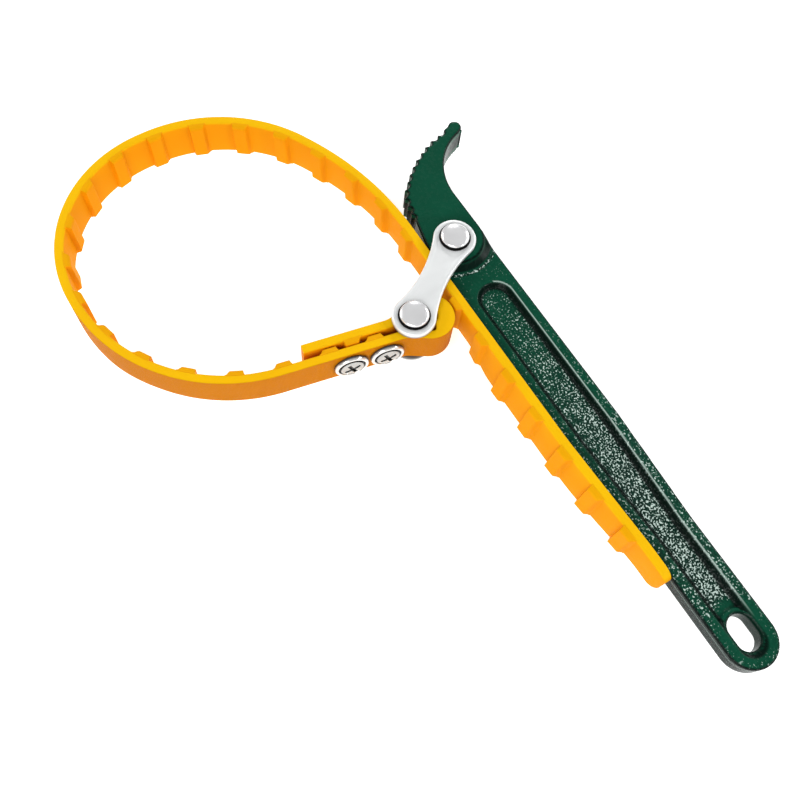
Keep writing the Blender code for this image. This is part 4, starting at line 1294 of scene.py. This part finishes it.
def makePin(name, centre, shank):
    # a polished dome with a fine step at its rim; a flatter formed head behind
    radius, base = pin["headRadius"], pin["headBase"]
    rim, tailTop, tailRadius = pin["rim"], pin["tailTop"], pin["tailRadius"]
    dome = pin["domeTop"] - base - rim
    profile = []
    for angle in np.radians(np.linspace(0, 90, 16)):
        profile.append((radius * 0.97 * math.sin(angle), base + rim + dome * math.cos(angle) ** 0.9))
    profile += [(radius * 0.99, base + rim * 0.8), (radius, base + rim * 0.4), (radius * 0.98, base)]
    # a thin flange just under the head, in painted shade, stands in for the shadow gap round the head
    profile += [(radius * 0.98, base - 0.1), (radius + 0.5, base - 0.1), (radius + 0.5, base - 0.35)]
    profile += [(shank, base), (shank, tailTop)]
    tail = [(shank, tailTop), (tailRadius, tailTop), (tailRadius, tailTop - 0.5)]
    tail += [(tailRadius * 0.75, pin["tailEnd"]), (0.0, pin["tailEnd"])]
    profile += softCorner(tail, 0.3)[1:]
    piece = turnedPiece(name + "Rivet", profile, centre, (0, 0, 1), looks["chrome"])
    # painted shade on everything below the dome's rim step: its foot, the flange, the shank and the formed
    # head behind
    paintShade(piece, lambda p: 1.0 if p.z < base + rim * 0.85 else 0.0)
    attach(piece, "links")
    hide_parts(name)
    return piece


makePin("pivot_pin", (0, 0, 0), 3.0)
makePin("strap_pin", (strapPinAt.x, strapPinAt.y, 0), 1.6)


def makeRing(name, inner, outer, low, high, centre, axis, body, look, slotName, soft=0.2):
    middle = (low + high) / 2
    profile = [(outer, middle), (outer, low), (inner, low), (inner, high), (outer, high), (outer, middle)]
    piece = turnedPiece(name, softCorner(profile, soft)[:-1], centre, axis, look, closed=True)
    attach(piece, body)
    return piece


pinWasher = {"outer": 6.2, "low": -11.6, "high": -10.8}
for node, centre, bore in (
    ("pivot_pin_washer", (0, 0, 0), 3.3),
    ("strap_pin_washer", (*strapPinAt.xy, 0), 1.9),
):
    low, high = pinWasher["low"], pinWasher["high"]
    ring = makeRing(
        *(node + "Plate", bore, pinWasher["outer"], low, high),
        *(centre, (0, 0, 1), "links", looks["zinc"], "fastener_zinc"),
    )
    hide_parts(node)

fastener = {
    "washerRadius": 6.4,
    "washerHeight": 1.6,
    "lip": 1.25,
    "headRadius": 4.4,
    "headHeight": 1.3,
    "shank": 1.4,
    "crossWidth": 1.4,
    "crossLength": 6.2,
    "crossDepth": 1.0,
    "backWasher": (2.6, 3.4, 0.4),
    "nutAcross": 5.2,
    "nutFlange": 0.8,
    "barrel": 2.3,
    "barrelDepth": 1.5,
    "threadPitch": 0.7,
}


def makeScrewHead(number, centre, axis):
    f = fastener
    gap = 0.3
    # cup washer: a raised bright lip round a sunk seat
    wide = f["washerRadius"]
    lipIn = wide - f["lip"]
    top = gap + f["washerHeight"]
    bore = f["shank"] + gap
    profile = [(wide, gap + 0.5), (wide, gap), (bore, gap), (bore, gap + 0.5), (lipIn - 0.35, gap + 0.5)]
    profile += [(lipIn, top - 0.1), (lipIn + 0.45, top), (wide - 0.35, top - 0.25), (wide, gap + 0.5)]
    profile = softCorner(profile, 0.2)[:-1]
    washer = turnedPiece(f"cupWasher{number}", profile, centre, axis, looks["zinc"], closed=True)
    seatAt = Vector(centre)
    up = Vector(axis).normalized()

    def washerShade(p):
        # painted shade in the sunk seat and at the foot against the strap
        offset = p - seatAt
        height = offset.dot(up)
        reach = (offset - height * up).length
        if reach > wide - 0.25:
            return 0.9
        return 0.97 if height < top - 0.55 and reach < lipIn + 0.3 else 0.0

    paintShade(washer, washerShade)
    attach(washer, "strap")
    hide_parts(f"outer_washer_{number}")
    seat = gap + 0.8
    crown = seat + f["headHeight"]
    profile = []
    for angle in np.radians(np.linspace(0, 75, 9)):
        out = f["headRadius"] * math.sin(angle) / math.sin(math.radians(78))
        profile.append((out, crown - 0.75 * (1 - math.cos(angle))))
    profile += [(f["headRadius"], seat + 0.35), (f["headRadius"] - 0.1, seat), (f["shank"], seat)]
    bottom = -clampThickness - gap - f["backWasher"][2] - f["nutFlange"]
    turns = 8
    for i in range(turns * 2 + 1):
        height = bottom + 0.25 + (turns * 2 - i) * f["threadPitch"] / 2
        profile.append((f["shank"] - (0.28 if i % 2 else 0.0), height))
    profile += [(f["shank"] - 0.35, bottom), (0.0, bottom)]
    screw = turnedPiece(f"crossScrew{number}", profile, centre, axis, looks["screw"])
    tilt = up.to_track_quat("Z", "Y").to_matrix().to_4x4()
    for turnBy in (25, 115):
        bar = bmesh.new()
        bmesh.ops.create_cube(bar, size=1.0)
        size = Matrix.Diagonal((f["crossLength"], f["crossWidth"], 2 * f["crossDepth"], 1))
        spin = Matrix.Rotation(math.radians(turnBy), 4, "Z")
        at = Matrix.Translation(pivot + mm * (Vector(centre) + (crown + 0.1) * up))
        bmesh.ops.transform(bar, matrix=at @ tilt @ spin @ Matrix.Scale(mm, 4) @ size, verts=bar.verts)
        mesh = bpy.data.meshes.new("crossBar")
        bar.to_mesh(mesh)
        bar.free()
        cutter = bpy.data.objects.new("crossBar", mesh)
        bpy.context.scene.collection.objects.link(cutter)
        cut = screw.modifiers.new("cross", "BOOLEAN")
        cut.object = cutter
        cut.solver = "EXACT"
        baked(screw)
        bpy.data.objects.remove(cutter, do_unlink=True)
    screw.data.set_sharp_from_angle(angle=math.radians(38))
    # painted shade on all but the top of the head: the cross, the head's side and the shank
    paintShade(screw, lambda p: 0.95 if (p - seatAt).dot(up) < crown - 0.5 else 0.0)
    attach(screw, "strap")
    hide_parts(f"strap_screw_{number}")
    high = -clampThickness - gap
    bore, outer, thick = f["backWasher"]
    ring = makeRing(
        *(f"backWasher{number}", bore, outer, high - thick, high),
        *(centre, axis, "strap", looks["zinc"], "fastener_zinc"),
    )
    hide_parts(f"inner_washer_{number}")
    makeNut(number, centre, axis, high - thick - gap)


def makeNut(number, centre, axis, top):
    # a low hexagon with turned corners, and a barrel that reaches into the strap round the screw
    f = fastener
    up = Vector(axis).normalized()
    side = up.orthogonal().normalized()
    other = up.cross(side)
    steps = 72
    points, faces = [], []
    low, high = top - f["nutFlange"], top
    half = f["nutAcross"] / 2
    bore = f["shank"] + 0.25
    tip = -f["barrelDepth"]
    for i in range(steps):
        angle = 2 * math.pi * i / steps
        flat = half / math.cos((angle + math.pi / 6) % (math.pi / 3) - math.pi / 6)
        drop = max(0.0, (flat - half * 1.01) * 0.55)
        out = math.cos(angle) * side + math.sin(angle) * other
        rows = [(bore, tip), (f["barrel"] - 0.1, tip), (f["barrel"], tip - 0.1), (f["barrel"], high)]
        rows += [(flat, high), (flat, low + 0.08 + drop), (min(flat, half * 1.02), low + 0.03)]
        rows += [(half * 0.96, low), (bore + 0.35, low), (bore, low + 0.3)]
        points += [tuple(Vector(centre) + r * out + h * up) for r, h in rows]
    n = len(rows)
    for i in range(steps):
        j = (i + 1) % steps
        for k in range(n):
            m = (k + 1) % n
            faces.append((i * n + k, i * n + m, j * n + m, j * n + k))
    nut = outwards(meshObject(f"hexNut{number}", points, faces))
    nut.data.set_sharp_from_angle(angle=math.radians(25))
    nut.data.materials.append(looks["steel"])
    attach(nut, "strap")
    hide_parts(f"strap_nut_{number}")


for number in (1, 2):
    offset = boxCentre(f"outer_washer_{number}") - pivot
    axis = boxCentre(f"outer_washer_{number}") - boxCentre(f"strap_nut_{number}")
    axis.z = 0
    axis.normalize()
    across = (offset.xy / mm - strapPinAt.xy).dot(clampAcross)
    seatAt = Vector((offset.x / mm, offset.y / mm, 0)) - (across - strap["clampOuter"]) * axis
    makeScrewHead(number, seatAt, axis)

for node in ("pivot_collar_front", "pivot_collar_back", "strap_sleeve"):
    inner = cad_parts[node]
    inner.data.materials.clear()
    inner.data.materials.append(looks["steel"])
print("hardware ready")
